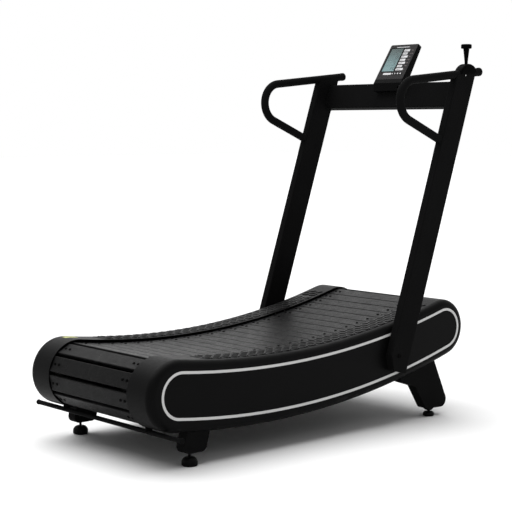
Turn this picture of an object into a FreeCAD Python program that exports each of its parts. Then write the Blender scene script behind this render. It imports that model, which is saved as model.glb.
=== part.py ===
import FreeCAD, Part

import math
import os
from collections import namedtuple

# Curved manual treadmill. Units are millimetres.
# X runs across the machine (positive to the runner's right), Y points the way the runner faces,
# Z is up. The origin lies on the floor, below the middle of the machine's outer box.

V = FreeCAD.Vector
EX, EY, EZ = V(1, 0, 0), V(0, 1, 0), V(0, 0, 1)

# --- driving dimensions: casings ---------------------------------------------------------------
FACE_X = 390.0            # outer face of each side casing
LIP_X = 253.0             # inner edge of each casing, beside the running belt
WALL = 4.0                # casing wall
COVER_EDGE_R = 28.0       # soft edge round the casing's outer face
STRIPE_WIDTH = 10.4
STRIPE_DEPTH = 1.0
PANEL_DEPTH = 2.0
GRIP_X = (268.0, 356.0)   # rubber tread on the foot rail
GRIP_Y = (-600.0, 540.0)
GRIP_THICK = 1.5
UNDERSIDE_Y, UNDERSIDE_Z = (-732.0, 665.0), (60.0, 262.0)   # opening for the legs

# --- driving dimensions: running belt ----------------------------------------------------------
SLAT_COUNT = 55
SLAT_HALF_LENGTH = 250.0
SLAT_WIDTH = 62.0
SLAT_BASE = 3.3           # underside of a slat above the belt's pitch line
SLAT_TOP = 19.0           # running surface above the pitch line
RIB_HALF_LENGTH = 178.0
RIB_WIDTH = 14.0
RIB_DEPTH = 15.0
SCREW_X = (207.0, 233.0)
CARRIER_X = (195.0, 245.0)
CARRIER_UP, CARRIER_DOWN = 3.0, 4.0
SLAT_EDGE_R = 3.0
HEAD_R, HEAD_HEIGHT, HEAD_EDGE_R = 5.5, 2.6, 1.4
SOCKET_R, SHANK_R, SHANK_LENGTH = 1.8, 2.5, 9.0
PULLEY_GAP = 0.4          # between the carrier belts and whatever they run on

# --- driving dimensions: rollers ---------------------------------------------------------------
AXLE_R = 12.5
BEARING_FIT = 0.05
PLATE_X = (268.0, 274.0)
ROLLER_R = 20.0
ROLLER_COUNT = 21
STUD_R = 5.0
DISC_X = (256.0, 261.0)
DISC_R = 86.0
HUB_R = 30.0
RIM_THICK = 9.0
FLANGE_X = (190.5, 246.0)
FLANGE_THICK = 3.5
SHAFT_END = 291.0
SHAFT_WIDE_END, SHAFT_WIDE_STEP = 180.0, 6.0
CALIPER_X = (263.4, 267.4)
CALIPER_BOSS_R = 9.0
CALIPER_PIN_R = 4.0
MAGNET_R, MAGNET_X = 8.0, 261.8
MAGNET_ANGLES = (212, 225, 238, 251)   # degrees round the front axle
TUBE_BOSS_BORE = 6.2
CROSS_TUBE_Y = (-480.0, -115.0, 250.0)
CROSS_TUBE_DEPTH, CROSS_TUBE_HEIGHT = 60.0, 40.0

# --- driving dimensions: uprights, handles, console --------------------------------------------
UPRIGHT_X = (390.6, 427.0)
UPRIGHT_DEPTH = 110.0     # square to its own length
UPRIGHT_LEAN = math.radians(18.65)
UPRIGHT_FRONT_AT = (780.8, 1305.0)
TUBE_WALL = 3.0
HANDLE_X = 409.0
HANDLE_R = 17.5
HANDLE_WALL = 2.5
HANDLE_BEND_AT = (466.6, 1338.0)
HANDLE_BEND_R = 85.6
HANDLE_RISE = math.radians(5.7)
HANDLE_DROP = math.radians(-22.9)
CROSSBAR_HEIGHT = 113.0
CROSSBAR_DEPTH = 40.0
CROSSBAR_LOW = 1318.0
CONSOLE_HALF_WIDTH = 83.5
CONSOLE_FOOT = (748.8, 1438.0)   # where the face film ends
CONSOLE_CHIN = 16.0       # housing below the film
CONSOLE_TILT = math.radians(34.0)
CONSOLE_LENGTH = 193.0
CONSOLE_CORNER_R = 8.0
CONSOLE_THICK = 22.0
LCD_X, LCD_UP = (-68.0, 4.0), (46.0, 172.0)
BUTTON_X = (7.0, 23.0, 39.0, 55.0)
BUTTON_UP = 32.0
BUTTON_SIZE = (12.0, 9.0)
FACE_SHEET = 2.5
BUTTON_GAP = 0.4
LEVER_AT = (788.0, 1485.0)
DOME_R = 60.0
DOME_AT = (788.0, 1436.0)
DOME_X = (387.0, 431.0)
LEVER_PIN_R = 2.5
NECK_R, NECK_LENGTH = 7.0, 20.0
STEM_TOP_R, STEM_LENGTH = 13.0, 54.0
KNOB_R, KNOB_HEIGHT = 22.5, 19.0

# --- driving dimensions: legs and floor --------------------------------------------------------
LEG_X = (328.0, 374.0)
FOOT_X = 351.0
REAR_FOOT_Y, FRONT_FOOT_Y = -669.0, 641.0
LEG_SHEET = 4.0
REAR_LEG = [(-678, 205), (-719, 50), (-611, 50), (-570, 205)]
REAR_LEG_R = [0, 24, 24, 0]
FRONT_LEG = [(425, 215), (448, 170), (532, 143), (600, 38), (745, 34), (641, 258)]
FRONT_LEG_R = [0, 30, 20, 26, 32, 0]
REAR_ARM, FRONT_ARM = (-664.0, -590.0, 160.0), (480.0, 640.0, 190.0)
Foot = namedtuple("Foot", "y pad_r pad_h neck_r stud_top nut_z")
REAR_FOOT = Foot(REAR_FOOT_Y, 30.0, 34.0, 13.0, 78.0, 54.2)
FRONT_FOOT = Foot(FRONT_FOOT_Y, 24.0, 20.0, 15.0, 62.0, 41.4)
FOOT_STUD_R = 5.0
STUD_BORE = 5.3
NUT_R, NUT_HEIGHT = 9.0, 8.0
LIFT_BAR_AT = (-793.0, 129.0)
LIFT_BAR_HALF = 466.0
LIFT_BAR_R = 9.0
WHEEL_AT = (688.0, 44.0)
WHEEL_R = 32.0
WHEEL_X = (298.0, 322.0)
WHEEL_PIN_R = 6.0
TAB_HALF, TAB_RISE, TAB_SLANT = 16.0, 62.0, 18.0
TAB_SHEET = 5.0

# An outline of this machine's side: two round ends joined by two long arcs that both curve
# upwards, so the top is hollow and the underside is full.
Sweep = namedtuple("Sweep", "rear rear_r front front_r top_r bottom_r")
COVER = Sweep((-746.0, 269.0), 134.0, (698.0, 377.0), 121.0, 3510.0, 3750.0)
STRIPE = Sweep((-736.0, 272.0), 84.5, (698.0, 377.0), 80.5, 3760.0, 3560.0)
BELT = Sweep((-753.0, 269.0), 103.0, (698.0, 376.0), 93.0, 3649.0, 3981.0)


# --- plain helpers -----------------------------------------------------------------------------
def save(node, shape):
    """Write one sub-part as parts/NODE.step."""
    if not shape.isValid():
        raise ValueError("invalid solid: " + node)
    shape.exportStep(os.path.join("parts", node + ".step"))


def box(x, y, z):
    """A block between the two values given for each axis."""
    return Part.makeBox(x[1] - x[0], y[1] - y[0], z[1] - z[0], V(x[0], y[0], z[0]))


def rod(x0, x1, at, radius):
    """A round bar along X, at (y, z)."""
    return Part.makeCylinder(radius, x1 - x0, V(x0, at[0], at[1]), EX)


def tube(x0, x1, at, outer, inner):
    """A round tube along X, at (y, z)."""
    return rod(x0, x1, at, outer).cut(rod(x0 - 1, x1 + 1, at, inner))


def yz(point, x=0.0):
    return V(x, point[0], point[1])


def plate(points, x0, x1):
    """A flat-sided block: a polygon in the YZ plane, drawn out from x0 to x1."""
    corners = [yz(p, x0) for p in points]
    face = Part.Face(Part.makePolygon(corners + corners[:1]))
    return face.extrude(V(x1 - x0, 0, 0))


def mirrored(shape):
    """The same piece on the other side of the machine."""
    return shape.mirror(V(0, 0, 0), EX)


def group(shapes):
    return Part.makeCompound(shapes)


def round_edges(shape, radius, wanted):
    """Fillet the edges for which wanted(edge) is true."""
    return shape.makeFillet(radius, [e for e in shape.Edges if wanted(e)])


def along_x(edge):
    box_of = edge.BoundBox
    return box_of.YLength < 0.01 and box_of.ZLength < 0.01


def at_x(edge, x):
    box_of = edge.BoundBox
    return abs(box_of.XMin - x) < 0.01 and abs(box_of.XMax - x) < 0.01


def polar(centre, radius, angle):
    return (centre[0] + radius * math.cos(angle), centre[1] + radius * math.sin(angle))


def heading(start, end):
    return math.atan2(end[1] - start[1], end[0] - start[0])


def upper_crossing(p, reach_p, q, reach_q):
    """The upper of the two points at the given distances from p and q."""
    gap = math.dist(p, q)
    along = (reach_p ** 2 - reach_q ** 2 + gap ** 2) / (2 * gap)
    aside = math.sqrt(reach_p ** 2 - along ** 2)
    angle = heading(p, q)
    foot = polar(p, along, angle)
    return polar(foot, aside, angle + math.pi / 2)


# --- the side outline --------------------------------------------------------------------------
def top_centre(s):
    return upper_crossing(s.rear, s.top_r + s.rear_r, s.front, s.top_r + s.front_r)


def bottom_centre(s):
    return upper_crossing(s.rear, s.bottom_r - s.rear_r, s.front, s.bottom_r - s.front_r)


def grown(s, by):
    """The outline moved outwards by a constant distance."""
    return Sweep(s.rear, s.rear_r + by, s.front, s.front_r + by, s.top_r - by, s.bottom_r + by)


def sweep_solid(s, x0, x1):
    """The outline as a solid between two planes across the machine."""
    above, below = top_centre(s), bottom_centre(s)
    rear_top = polar(s.rear, s.rear_r, heading(s.rear, above))
    front_top = polar(s.front, s.front_r, heading(s.front, above))
    rear_low = polar(s.rear, s.rear_r, heading(below, s.rear))
    front_low = polar(s.front, s.front_r, heading(below, s.front))
    top_mid = polar(above, s.top_r, (heading(above, rear_top) + heading(above, front_top)) / 2)
    low_mid = polar(below, s.bottom_r, (heading(below, rear_low) + heading(below, front_low)) / 2)
    rear_mid = (s.rear[0] - s.rear_r, s.rear[1])
    front_mid = (s.front[0] + s.front_r, s.front[1])
    loop = [(rear_top, top_mid, front_top), (front_top, front_mid, front_low),
            (front_low, low_mid, rear_low), (rear_low, rear_mid, rear_top)]
    edges = [Part.Arc(*[yz(p, x0) for p in arc]).toShape() for arc in loop]
    return Part.Face(Part.Wire(edges)).extrude(V(x1 - x0, 0, 0))


def top_height(s, y):
    """Height of the outline's hollow top at y."""
    centre = top_centre(s)
    return centre[1] - math.sqrt(s.top_r ** 2 - (y - centre[0]) ** 2)


def bottom_height(s, y):
    """Height of the outline's underside at y."""
    centre = bottom_centre(s)
    return centre[1] - math.sqrt(s.bottom_r ** 2 - (y - centre[0]) ** 2)


# --- casings -----------------------------------------------------------------------------------
def soft_sweep(s, x0, x1, radius):
    """The outline as a solid whose edge at x1 is rounded."""
    return round_edges(sweep_solid(s, x0, x1), radius, lambda e: at_x(e, x1))


def side_cover():
    shell = soft_sweep(COVER, LIP_X, FACE_X, COVER_EDGE_R)
    hollow = soft_sweep(grown(COVER, -WALL), LIP_X - 1, FACE_X - WALL, COVER_EDGE_R - WALL)
    underside = box((LIP_X - 1, LEG_X[1] + 1.5), UNDERSIDE_Y, UNDERSIDE_Z)
    groove = sweep_solid(grown(STRIPE, STRIPE_WIDTH / 2), FACE_X - STRIPE_DEPTH, FACE_X + 1)
    panel = sweep_solid(grown(STRIPE, -STRIPE_WIDTH / 2), FACE_X - PANEL_DEPTH, FACE_X + 1)
    cover = shell.cut(hollow).cut(underside).cut(groove).cut(panel)
    return cover.cut(bar_tab_block(0.8)).cut(group(bolt_holes()))


def cover_stripe():
    band = sweep_solid(grown(STRIPE, STRIPE_WIDTH / 2), FACE_X - STRIPE_DEPTH, FACE_X + 0.3)
    band = band.cut(sweep_solid(grown(STRIPE, -STRIPE_WIDTH / 2), FACE_X - 3, FACE_X + 1))
    return band.cut(group(bolt_holes()))


def grip_pad():
    """Rubber tread that follows the hollow top of the foot rail."""
    band = sweep_solid(grown(COVER, GRIP_THICK), *GRIP_X).cut(sweep_solid(COVER, FACE_X / 2, FACE_X))
    return band.common(box((0, FACE_X), GRIP_Y, (COVER.rear[1], 600)))


# --- frame -------------------------------------------------------------------------------------
def side_plate():
    steel = sweep_solid(grown(COVER, -16), *PLATE_X)
    for at in (BELT.rear, BELT.front):
        steel = steel.cut(rod(250, 290, at, AXLE_R + 8))
    for at in cross_tube_places():
        steel = steel.cut(rod(250, 290, at, TUBE_BOSS_BORE))
    steel = steel.cut(rod(250, 290, caliper_pivot(), CALIPER_PIN_R))
    steel = steel.cut(group([rod(250, 290, at, STUD_R) for at in roller_places()]))
    return steel.cut(group(bolt_holes()))


def cross_tube_places():
    return [(y, (top_height(BELT, y) + bottom_height(BELT, y)) / 2 - 8) for y in CROSS_TUBE_Y]


def cross_tube(at):
    """A rectangular tube between the side plates, with a threaded boss in each end."""
    reach = PLATE_X[0]
    height, depth = CROSS_TUBE_HEIGHT, CROSS_TUBE_DEPTH
    y, z = at

    def block(inset):
        solid = box((-reach, reach), (y - depth / 2 + inset, y + depth / 2 - inset),
                    (z - height / 2 + inset, z + height / 2 - inset))
        return round_edges(solid, 7.0 - inset, along_x)
    core = box((-reach + 12, reach - 12), (y - depth, y + depth), (z - height, z + height))
    beam = block(0).cut(block(TUBE_WALL).common(core))
    for side in (-1, 1):
        start, end = sorted((side * (reach - 14), side * (reach + 1)))
        beam = beam.cut(rod(start, end, at, TUBE_BOSS_BORE))
    return beam


def roller_places():
    """Evenly spaced along the hollow of the running belt, just under the carrier belts."""
    centre = top_centre(BELT)
    reach = BELT.top_r + CARRIER_DOWN + PULLEY_GAP + ROLLER_R
    first = heading(centre, BELT.rear) + 0.034
    last = heading(centre, BELT.front) - 0.031
    step = (last - first) / (ROLLER_COUNT - 1)
    return [polar(centre, reach, first + i * step) for i in range(ROLLER_COUNT)]


def support_rollers():
    right = [tube(200, 240, at, ROLLER_R, STUD_R + 0.3) for at in roller_places()]
    return group(right + [mirrored(r) for r in right])


def roller_studs():
    """A shouldered stud through the side plate carries each support roller."""
    right = []
    for at in roller_places():
        stud = rod(198, 278, at, STUD_R)
        right.append(stud.fuse(rod(241, PLATE_X[0], at, STUD_R + 3)).removeSplitter())
    return group(right + [mirrored(s) for s in right])


# --- running belt ------------------------------------------------------------------------------
def belt_runs():
    """The loop as four arcs: name, centre, radius, start angle, turn, and side of the outside."""
    above, below = top_centre(BELT), bottom_centre(BELT)
    top_from, top_to = heading(above, BELT.rear), heading(above, BELT.front)
    low_from, low_to = heading(below, BELT.front), heading(below, BELT.rear)
    front_from = heading(BELT.front, above)
    front_turn = low_from - front_from
    rear_turn = heading(BELT.rear, above) - 2 * math.pi - low_to
    return [("top_run", above, BELT.top_r, top_from, top_to - top_from, -1),
            ("front_turn", BELT.front, BELT.front_r, front_from, front_turn, 1),
            ("return_run", below, BELT.bottom_r, low_from, low_to - low_from, 1),
            ("rear_turn", BELT.rear, BELT.rear_r, low_to, rear_turn, 1)]


def slat_places():
    """Where each slat sits on the loop: the run's name, its place and its turn about X."""
    runs = belt_runs()
    total = sum(abs(turn) * radius for _, _, radius, _, turn, _ in runs)
    pitch = total / SLAT_COUNT
    places = []
    passed = 0.0
    index = 0
    for name, centre, radius, start, turn, outside in runs:
        length = abs(turn) * radius
        while index * pitch < passed + length - 0.001 and index < SLAT_COUNT:
            angle = start + turn * (index * pitch - passed) / length
            normal = angle if outside > 0 else angle + math.pi
            places.append((name, polar(centre, radius, angle), normal - math.pi / 2))
            index += 1
        passed += length
    return places


def slat():
    """One slat at the origin: a plank with softened edges and a stiffening rib below."""
    half = SLAT_WIDTH / 2
    plank = box((-SLAT_HALF_LENGTH, SLAT_HALF_LENGTH), (-half, half), (SLAT_BASE, SLAT_TOP))
    plank = round_edges(plank, SLAT_EDGE_R, lambda e: along_x(e) and e.BoundBox.ZMin > SLAT_TOP - 0.1)
    rib = box((-RIB_HALF_LENGTH, RIB_HALF_LENGTH), (-RIB_WIDTH / 2, RIB_WIDTH / 2),
              (SLAT_BASE - RIB_DEPTH, SLAT_BASE + 1))
    plank = plank.fuse(rib).removeSplitter()
    for x in SCREW_X:
        for side in (-1, 1):
            plank = plank.cut(Part.makeCylinder(SHANK_R + 0.1, 12, V(side * x, 0, SLAT_TOP - 10), EZ))
    return plank


def slat_screw():
    """A button-head screw at the origin, head on the running surface."""
    head = Part.makeCylinder(HEAD_R, HEAD_HEIGHT, V(0, 0, SLAT_TOP), EZ)
    head = round_edges(head, HEAD_EDGE_R, lambda e: e.BoundBox.ZMin > SLAT_TOP + 1)
    socket = Part.makeCylinder(SOCKET_R, HEAD_HEIGHT, V(0, 0, SLAT_TOP + 1.2), EZ)
    shank = Part.makeCylinder(SHANK_R, SHANK_LENGTH, V(0, 0, SLAT_TOP - SHANK_LENGTH), EZ)
    return head.cut(socket).fuse(shank).removeSplitter()


def placed(shape, place, turn, x=0.0):
    copy = shape.copy()
    copy.Placement = FreeCAD.Placement(yz(place, x), FreeCAD.Rotation(EX, math.degrees(turn)))
    return copy


def carrier_belt():
    outside = sweep_solid(grown(BELT, CARRIER_UP), *CARRIER_X)
    return outside.cut(sweep_solid(grown(BELT, -CARRIER_DOWN), CARRIER_X[0] - 1, CARRIER_X[1] + 1))


def save_belt():
    plank, screw = slat(), slat_screw()
    runs = {}
    screws = []
    for name, place, turn in slat_places():
        runs.setdefault(name, []).append(placed(plank, place, turn))
        for x in SCREW_X:
            screws += [placed(screw, place, turn, side * x) for side in (-1, 1)]
    for name, slats in runs.items():
        save("slats_" + name, group(slats))
    save("slat_screws", group(screws))
    belt = carrier_belt()
    save("carrier_belt_right", belt)
    save("carrier_belt_left", mirrored(belt))


# --- rollers and brake -------------------------------------------------------------------------
def axle(at):
    """A turned shaft: full size between the bearings, thicker between the pulleys."""
    middle = rod(-SHAFT_WIDE_END, SHAFT_WIDE_END, at, AXLE_R + SHAFT_WIDE_STEP)
    return rod(-SHAFT_END, SHAFT_END, at, AXLE_R).fuse(middle).removeSplitter()


def pulley(at, pitch_r):
    """A flanged wheel with a web, for one carrier belt."""
    rim_r = pitch_r - CARRIER_DOWN - PULLEY_GAP
    bore_r = rim_r - RIM_THICK
    wheel = tube(FLANGE_X[0] + FLANGE_THICK, FLANGE_X[1], at, rim_r, bore_r)
    wheel = wheel.fuse(rod(214, 226, at, rim_r - 5))
    wheel = wheel.fuse(rod(200, 240, at, HUB_R))
    for x in FLANGE_X:
        wheel = wheel.fuse(tube(x, x + FLANGE_THICK, at, pitch_r - 1, bore_r))
    wheel = wheel.removeSplitter().cut(rod(150, 260, at, AXLE_R))
    middle = (HUB_R + bore_r) / 2
    for i in range(6):
        wheel = wheel.cut(rod(150, 260, polar(at, middle, math.pi * i / 3), 13))
    return wheel


def pulley_pair(at, pitch_r):
    right = pulley(at, pitch_r)
    return group([right, mirrored(right)])


def brake_disc():
    disc = rod(DISC_X[0], DISC_X[1], BELT.front, DISC_R).cut(rod(250, 270, BELT.front, AXLE_R))
    for i in range(8):
        disc = disc.cut(rod(250, 270, polar(BELT.front, 38, math.pi * i / 4), 9))
    return disc


def caliper_pivot():
    return polar(BELT.front, DISC_R + 14, math.radians(200))


def magnet_caliper():
    """A swinging arm whose magnets face the rim of the brake disc."""
    pivot = caliper_pivot()
    x0, x1 = CALIPER_X
    arc = tube(x0, x1, BELT.front, DISC_R - 6, DISC_R - 30)
    sector = plate([BELT.front, polar(BELT.front, 200, math.radians(202)),
                    polar(BELT.front, 200, math.radians(262))], 250, 280)
    arm = arc.common(sector)
    reach, boss = DISC_R - 28, CALIPER_BOSS_R
    corners = [polar(pivot, boss, math.radians(110)), polar(BELT.front, reach, math.radians(203)),
               polar(BELT.front, reach, math.radians(218)), polar(pivot, boss, math.radians(250))]
    link = plate(corners, x0, x1)
    body = arm.fuse(link).fuse(rod(x0, x1, pivot, boss)).removeSplitter()
    for angle in MAGNET_ANGLES:
        body = body.fuse(rod(MAGNET_X, x0, polar(BELT.front, DISC_R - 18, math.radians(angle)), MAGNET_R))
    return body.removeSplitter().cut(rod(250, 280, pivot, CALIPER_PIN_R + BEARING_FIT))


def caliper_pin():
    pivot = caliper_pivot()
    shank = rod(262.2, 282, pivot, CALIPER_PIN_R)
    return shank.fuse(rod(274.2, 282, pivot, CALIPER_BOSS_R)).removeSplitter()


def axle_bearings():
    right = []
    for at in (BELT.rear, BELT.front):
        unit = tube(274.2, 290, at, HUB_R, AXLE_R + BEARING_FIT)
        right.append(round_edges(unit, 2.0, lambda e: at_x(e, 290) and e.BoundBox.YLength > 50))
    return group(right + [mirrored(b) for b in right])


# --- uprights and their bolts ------------------------------------------------------------------
def lean_point(back, along):
    """A point on the side of an upright: back from its front edge, along it from the reference."""
    y = UPRIGHT_FRONT_AT[0] + along * math.sin(UPRIGHT_LEAN) - back * math.cos(UPRIGHT_LEAN)
    z = UPRIGHT_FRONT_AT[1] + along * math.cos(UPRIGHT_LEAN) + back * math.sin(UPRIGHT_LEAN)
    return (y, z)


def upright_block(inset, x0, x1):
    """The upright's outline in side view, with its foot cut along the casing's underside."""
    front, back = inset, UPRIGHT_DEPTH - inset
    corners = [lean_point(front, 170), lean_point(back, 170), lean_point(back, -1092 + inset),
               lean_point(back - 34 + inset / 2, -1150 + inset), lean_point(front, -1146 + inset)]
    return plate(corners, x0, x1)


def handle_line(along, offset=0.0):
    """A point on the handle's top rail, measured forward from the end of the bend."""
    start = polar(HANDLE_BEND_AT, HANDLE_BEND_R + offset, math.pi / 2 + HANDLE_RISE)
    return polar(start, along, HANDLE_RISE)


def handle_way():
    """The direction of the handle's top rail."""
    return yz(polar((0, 0), 1, HANDLE_RISE))


def above_handle(offset):
    """Everything on the right side above a line at that offset from the handle's top rail."""
    corners = [(-200, offset), (700, offset), (700, 400), (-200, 400)]
    return plate([handle_line(*corner) for corner in corners], 300, 500)


def handle_path():
    """Top rail, round bend and lower leg, as one smooth line."""
    front = handle_line(408.0)
    bend_top = handle_line(0.0)
    bend_low_angle = HANDLE_DROP - math.pi / 2
    bend_low = polar(HANDLE_BEND_AT, HANDLE_BEND_R, bend_low_angle)
    middle_angle = (5 * math.pi / 2 + HANDLE_RISE + bend_low_angle) / 2
    bend_mid = polar(HANDLE_BEND_AT, HANDLE_BEND_R, middle_angle)
    tail = polar(bend_low, 240.0, HANDLE_DROP)
    front, bend_top, bend_mid, bend_low, tail = [yz(p, HANDLE_X) for p in
                                                 (front, bend_top, bend_mid, bend_low, tail)]
    return Part.Wire([Part.LineSegment(front, bend_top).toShape(),
                      Part.Arc(bend_top, bend_mid, bend_low).toShape(),
                      Part.LineSegment(bend_low, tail).toShape()])


def pipe(path, radius):
    start = path.Edges[0].Vertexes[0].Point
    direction = path.Edges[0].tangentAt(path.Edges[0].FirstParameter)
    ring = Part.Wire(Part.makeCircle(radius, start, direction))
    return path.makePipeShell([ring], True, False)


def handle():
    outer = pipe(handle_path(), HANDLE_R)
    inner = pipe(handle_path(), HANDLE_R - HANDLE_WALL)
    ends = Part.makeCylinder(HANDLE_R - HANDLE_WALL, 20, yz(handle_line(398.0), HANDLE_X), handle_way())
    return outer.cut(inner).cut(ends).cut(upright_envelope())


def upright_envelope():
    """The upright as a full block, to trim what ends on its surface, up to the handle."""
    block = upright_block(0, UPRIGHT_X[0] - 10, UPRIGHT_X[1] + 10)
    return block.cut(above_handle(-60))


def upright():
    outer = round_edges(upright_block(0, *UPRIGHT_X), 5.0, lambda e: not along_x(e) and leans(e))
    inner = upright_block(TUBE_WALL, UPRIGHT_X[0] + TUBE_WALL, UPRIGHT_X[1] - TUBE_WALL)
    above = above_handle(0)
    saddle = pipe(handle_path(), HANDLE_R)
    return outer.cut(inner).cut(above).cut(saddle).cut(group(bolt_holes()))


def leans(edge):
    """True for an edge that runs the length of an upright."""
    box_of = edge.BoundBox
    return box_of.XLength < 0.01 and box_of.ZLength > 800


def bolt_places():
    return [lean_point(65.6, -1086.2), lean_point(53.6, -1031.2), lean_point(53.6, -976.2)]


def bolt_holes():
    return [rod(PLATE_X[0] - 2, UPRIGHT_X[1] + 2, bolt_places()[0], 5.1)] + [
        rod(PLATE_X[0] - 2, UPRIGHT_X[0] + 10, at, 5.1) for at in bolt_places()[1:]]


def upright_bolts():
    """One bolt from outside at the foot and two from inside, for each upright."""
    foot, *others = bolt_places()
    outside = rod(PLATE_X[0] - 1, UPRIGHT_X[1], foot, 5).fuse(rod(UPRIGHT_X[1], UPRIGHT_X[1] + 4, foot, 9))
    outside = outside.removeSplitter().cut(rod(UPRIGHT_X[1] + 1.5, UPRIGHT_X[1] + 5, foot, 3))
    right = [outside]
    for at in others:
        inside = rod(PLATE_X[0], UPRIGHT_X[0] + 8, at, 5).fuse(rod(PLATE_X[0] - 5, PLATE_X[0], at, 8.5))
        right.append(inside.removeSplitter())
    return group(right + [mirrored(b) for b in right])


def upright_spacers():
    right = [tube(PLATE_X[1], FACE_X - WALL, at, 11, 5.2) for at in bolt_places()]
    return group(right + [mirrored(s) for s in right])


# --- handles' ends, crossbar -------------------------------------------------------------------
def handle_caps():
    start = handle_line(408.0)
    cap = Part.makeCylinder(HANDLE_R + 0.8, 14.7, yz(start, HANDLE_X), handle_way())
    cap = round_edges(cap, 6.0, lambda e: e.CenterOfMass.y > start[0] + 12 and e.BoundBox.XLength > 1)
    plug_r = HANDLE_R - HANDLE_WALL - 0.2
    plug = Part.makeCylinder(plug_r, 9, yz(handle_line(399.5), HANDLE_X), handle_way())
    cap = cap.fuse(plug).removeSplitter()
    return group([cap, mirrored(cap)])


def crossbar_corner(up, forward):
    """A point on the crossbar's section: up from its lower rear edge, forward from its rear face."""
    rear = lean_point(CROSSBAR_DEPTH + 1, 0)
    base = (rear[0] + (CROSSBAR_LOW - rear[1]) * math.tan(UPRIGHT_LEAN), CROSSBAR_LOW)
    raised = polar(base, up, math.pi / 2 - UPRIGHT_LEAN)
    return polar(raised, forward, -UPRIGHT_LEAN)


def crossbar():
    reach = UPRIGHT_X[0]

    def block(inset, x):
        corners = [crossbar_corner(u, f) for u, f in
                   ((inset, inset), (CROSSBAR_HEIGHT - inset, inset),
                    (CROSSBAR_HEIGHT - inset, CROSSBAR_DEPTH - inset), (inset, CROSSBAR_DEPTH - inset))]
        return round_edges(plate(corners, -x, x), 5.0 - inset, along_x)
    return block(0, reach).cut(block(TUBE_WALL, reach - 4))


# --- console -----------------------------------------------------------------------------------
def console_point(up, deep=0.0):
    """A point in the console's side view: up its face from the foot, deep into its body."""
    on_face = polar(CONSOLE_FOOT, up, math.pi / 2 - CONSOLE_TILT)
    return polar(on_face, deep, -CONSOLE_TILT)


def face_block(x, up, deep):
    """A block in the console's own directions."""
    corners = [console_point(u, d) for u, d in
               ((up[0], deep[0]), (up[1], deep[0]), (up[1], deep[1]), (up[0], deep[1]))]
    return plate(corners, x[0], x[1])


def console_back(share, off=0.0):
    """A point on the console's sloping back: a share of the way up it, then off it forwards."""
    corner = crossbar_corner(CROSSBAR_HEIGHT, 0)
    low, high = (corner[0] + 12, corner[1] + 9), console_point(CONSOLE_LENGTH, CONSOLE_THICK)
    angle = heading(low, high)
    return polar(polar(low, share * math.dist(low, high), angle), off, angle - math.pi / 2)


def film_block(half, up, deep):
    """A block for the face film, its four corners rounded."""
    return round_edges(face_block((-half, half), up, deep), 5.0,
                       lambda e: e.Length < 1.01 * (deep[1] - deep[0]))


def console_housing():
    half = CONSOLE_HALF_WIDTH
    rest_low, rest_high = crossbar_corner(70, 0), crossbar_corner(CROSSBAR_HEIGHT, 0)
    chin = console_point(-CONSOLE_CHIN)
    side = [chin, console_point(CONSOLE_LENGTH), console_back(1), console_back(0),
            (rest_high[0], rest_high[1] + 2), rest_low, (chin[0] + 2, 1390.0)]
    body = plate(side, -half, half)
    body = round_edges(body, CONSOLE_CORNER_R, lambda e: not along_x(e) and e.BoundBox.ZMin > 1575)
    body = round_edges(body, 3.0, lambda e: along_x(e) and e.BoundBox.ZMin > 1575)
    body = body.cut(film_block(half - 3, (4, CONSOLE_LENGTH - 4), (-1, FACE_SHEET)))
    inside_x, inside_up = (-half + 8, half - 8), (24, CONSOLE_LENGTH - 10)
    body = body.cut(face_block(inside_x, inside_up, (FACE_SHEET - 1, CONSOLE_THICK - 3)))
    jack = Part.makeCylinder(4, 14, V(62, chin[0] - 2, 1404), EY)
    return body.cut(jack)


def key_block(x, gap):
    """The room of one key, grown by a gap on all four sides."""
    half_width, half_height = BUTTON_SIZE[0] / 2 + gap, BUTTON_SIZE[1] / 2 + gap
    up = (BUTTON_UP - half_height, BUTTON_UP + half_height)
    return face_block((x - half_width, x + half_width), up, (-2, 6))


def console_face():
    sheet = film_block(CONSOLE_HALF_WIDTH - 3.3, (4.3, CONSOLE_LENGTH - 4.3), (0, FACE_SHEET - 0.1))
    window_x, window_up = (LCD_X[0] - 0.2, LCD_X[1] + 0.2), (LCD_UP[0] - 0.2, LCD_UP[1] + 0.2)
    sheet = sheet.cut(face_block(window_x, window_up, (-2, 6)))
    return sheet.cut(group([key_block(x, BUTTON_GAP) for x in BUTTON_X]))


def lcd_window():
    return face_block(LCD_X, LCD_UP, (0.6, 9.0))


def console_button(x):
    return round_edges(key_block(x, 0), 1.0, lambda e: e.BoundBox.DiagonalLength < 10)


def console_bracket():
    """A folded plate: its foot on top of the crossbar, its tongue up the console's back."""
    low, sheet = CROSSBAR_HEIGHT + 0.2, 4.0
    foot = [crossbar_corner(low, 20), crossbar_corner(low, 39), crossbar_corner(low + sheet, 39),
            crossbar_corner(low + sheet, 20)]
    tongue = [console_back(0.2, 0.3), console_back(0.6, 0.3), console_back(0.6, 0.3 + sheet),
              console_back(0.2, 0.3 + sheet)]
    bracket = plate(foot, -50, 50).fuse(plate(tongue, -50, 50))
    for x in (-50, 46):
        bracket = bracket.fuse(plate([foot[0], foot[1], tongue[2], tongue[0]], x, x + sheet))
    return bracket.removeSplitter()


# --- resistance lever --------------------------------------------------------------------------

def lever_housing():
    """A domed block clamped on the right handle, slotted for the lever."""
    disc = rod(DOME_X[0], DOME_X[1], DOME_AT, DOME_R)
    disc = round_edges(disc, 9.0, lambda e: e.BoundBox.ZLength > 100)
    dome = disc.common(above_handle(0.3))
    dome = dome.cut(pipe(handle_path(), HANDLE_R + 0.2))
    y, z = LEVER_AT
    dome = dome.cut(box((HANDLE_X - 9, HANDLE_X + 9), (y - 28, y + 28), (z - 10.5, z + 60)))
    return dome.cut(rod(HANDLE_X - 16, HANDLE_X + 16, LEVER_AT, LEVER_PIN_R))


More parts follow.
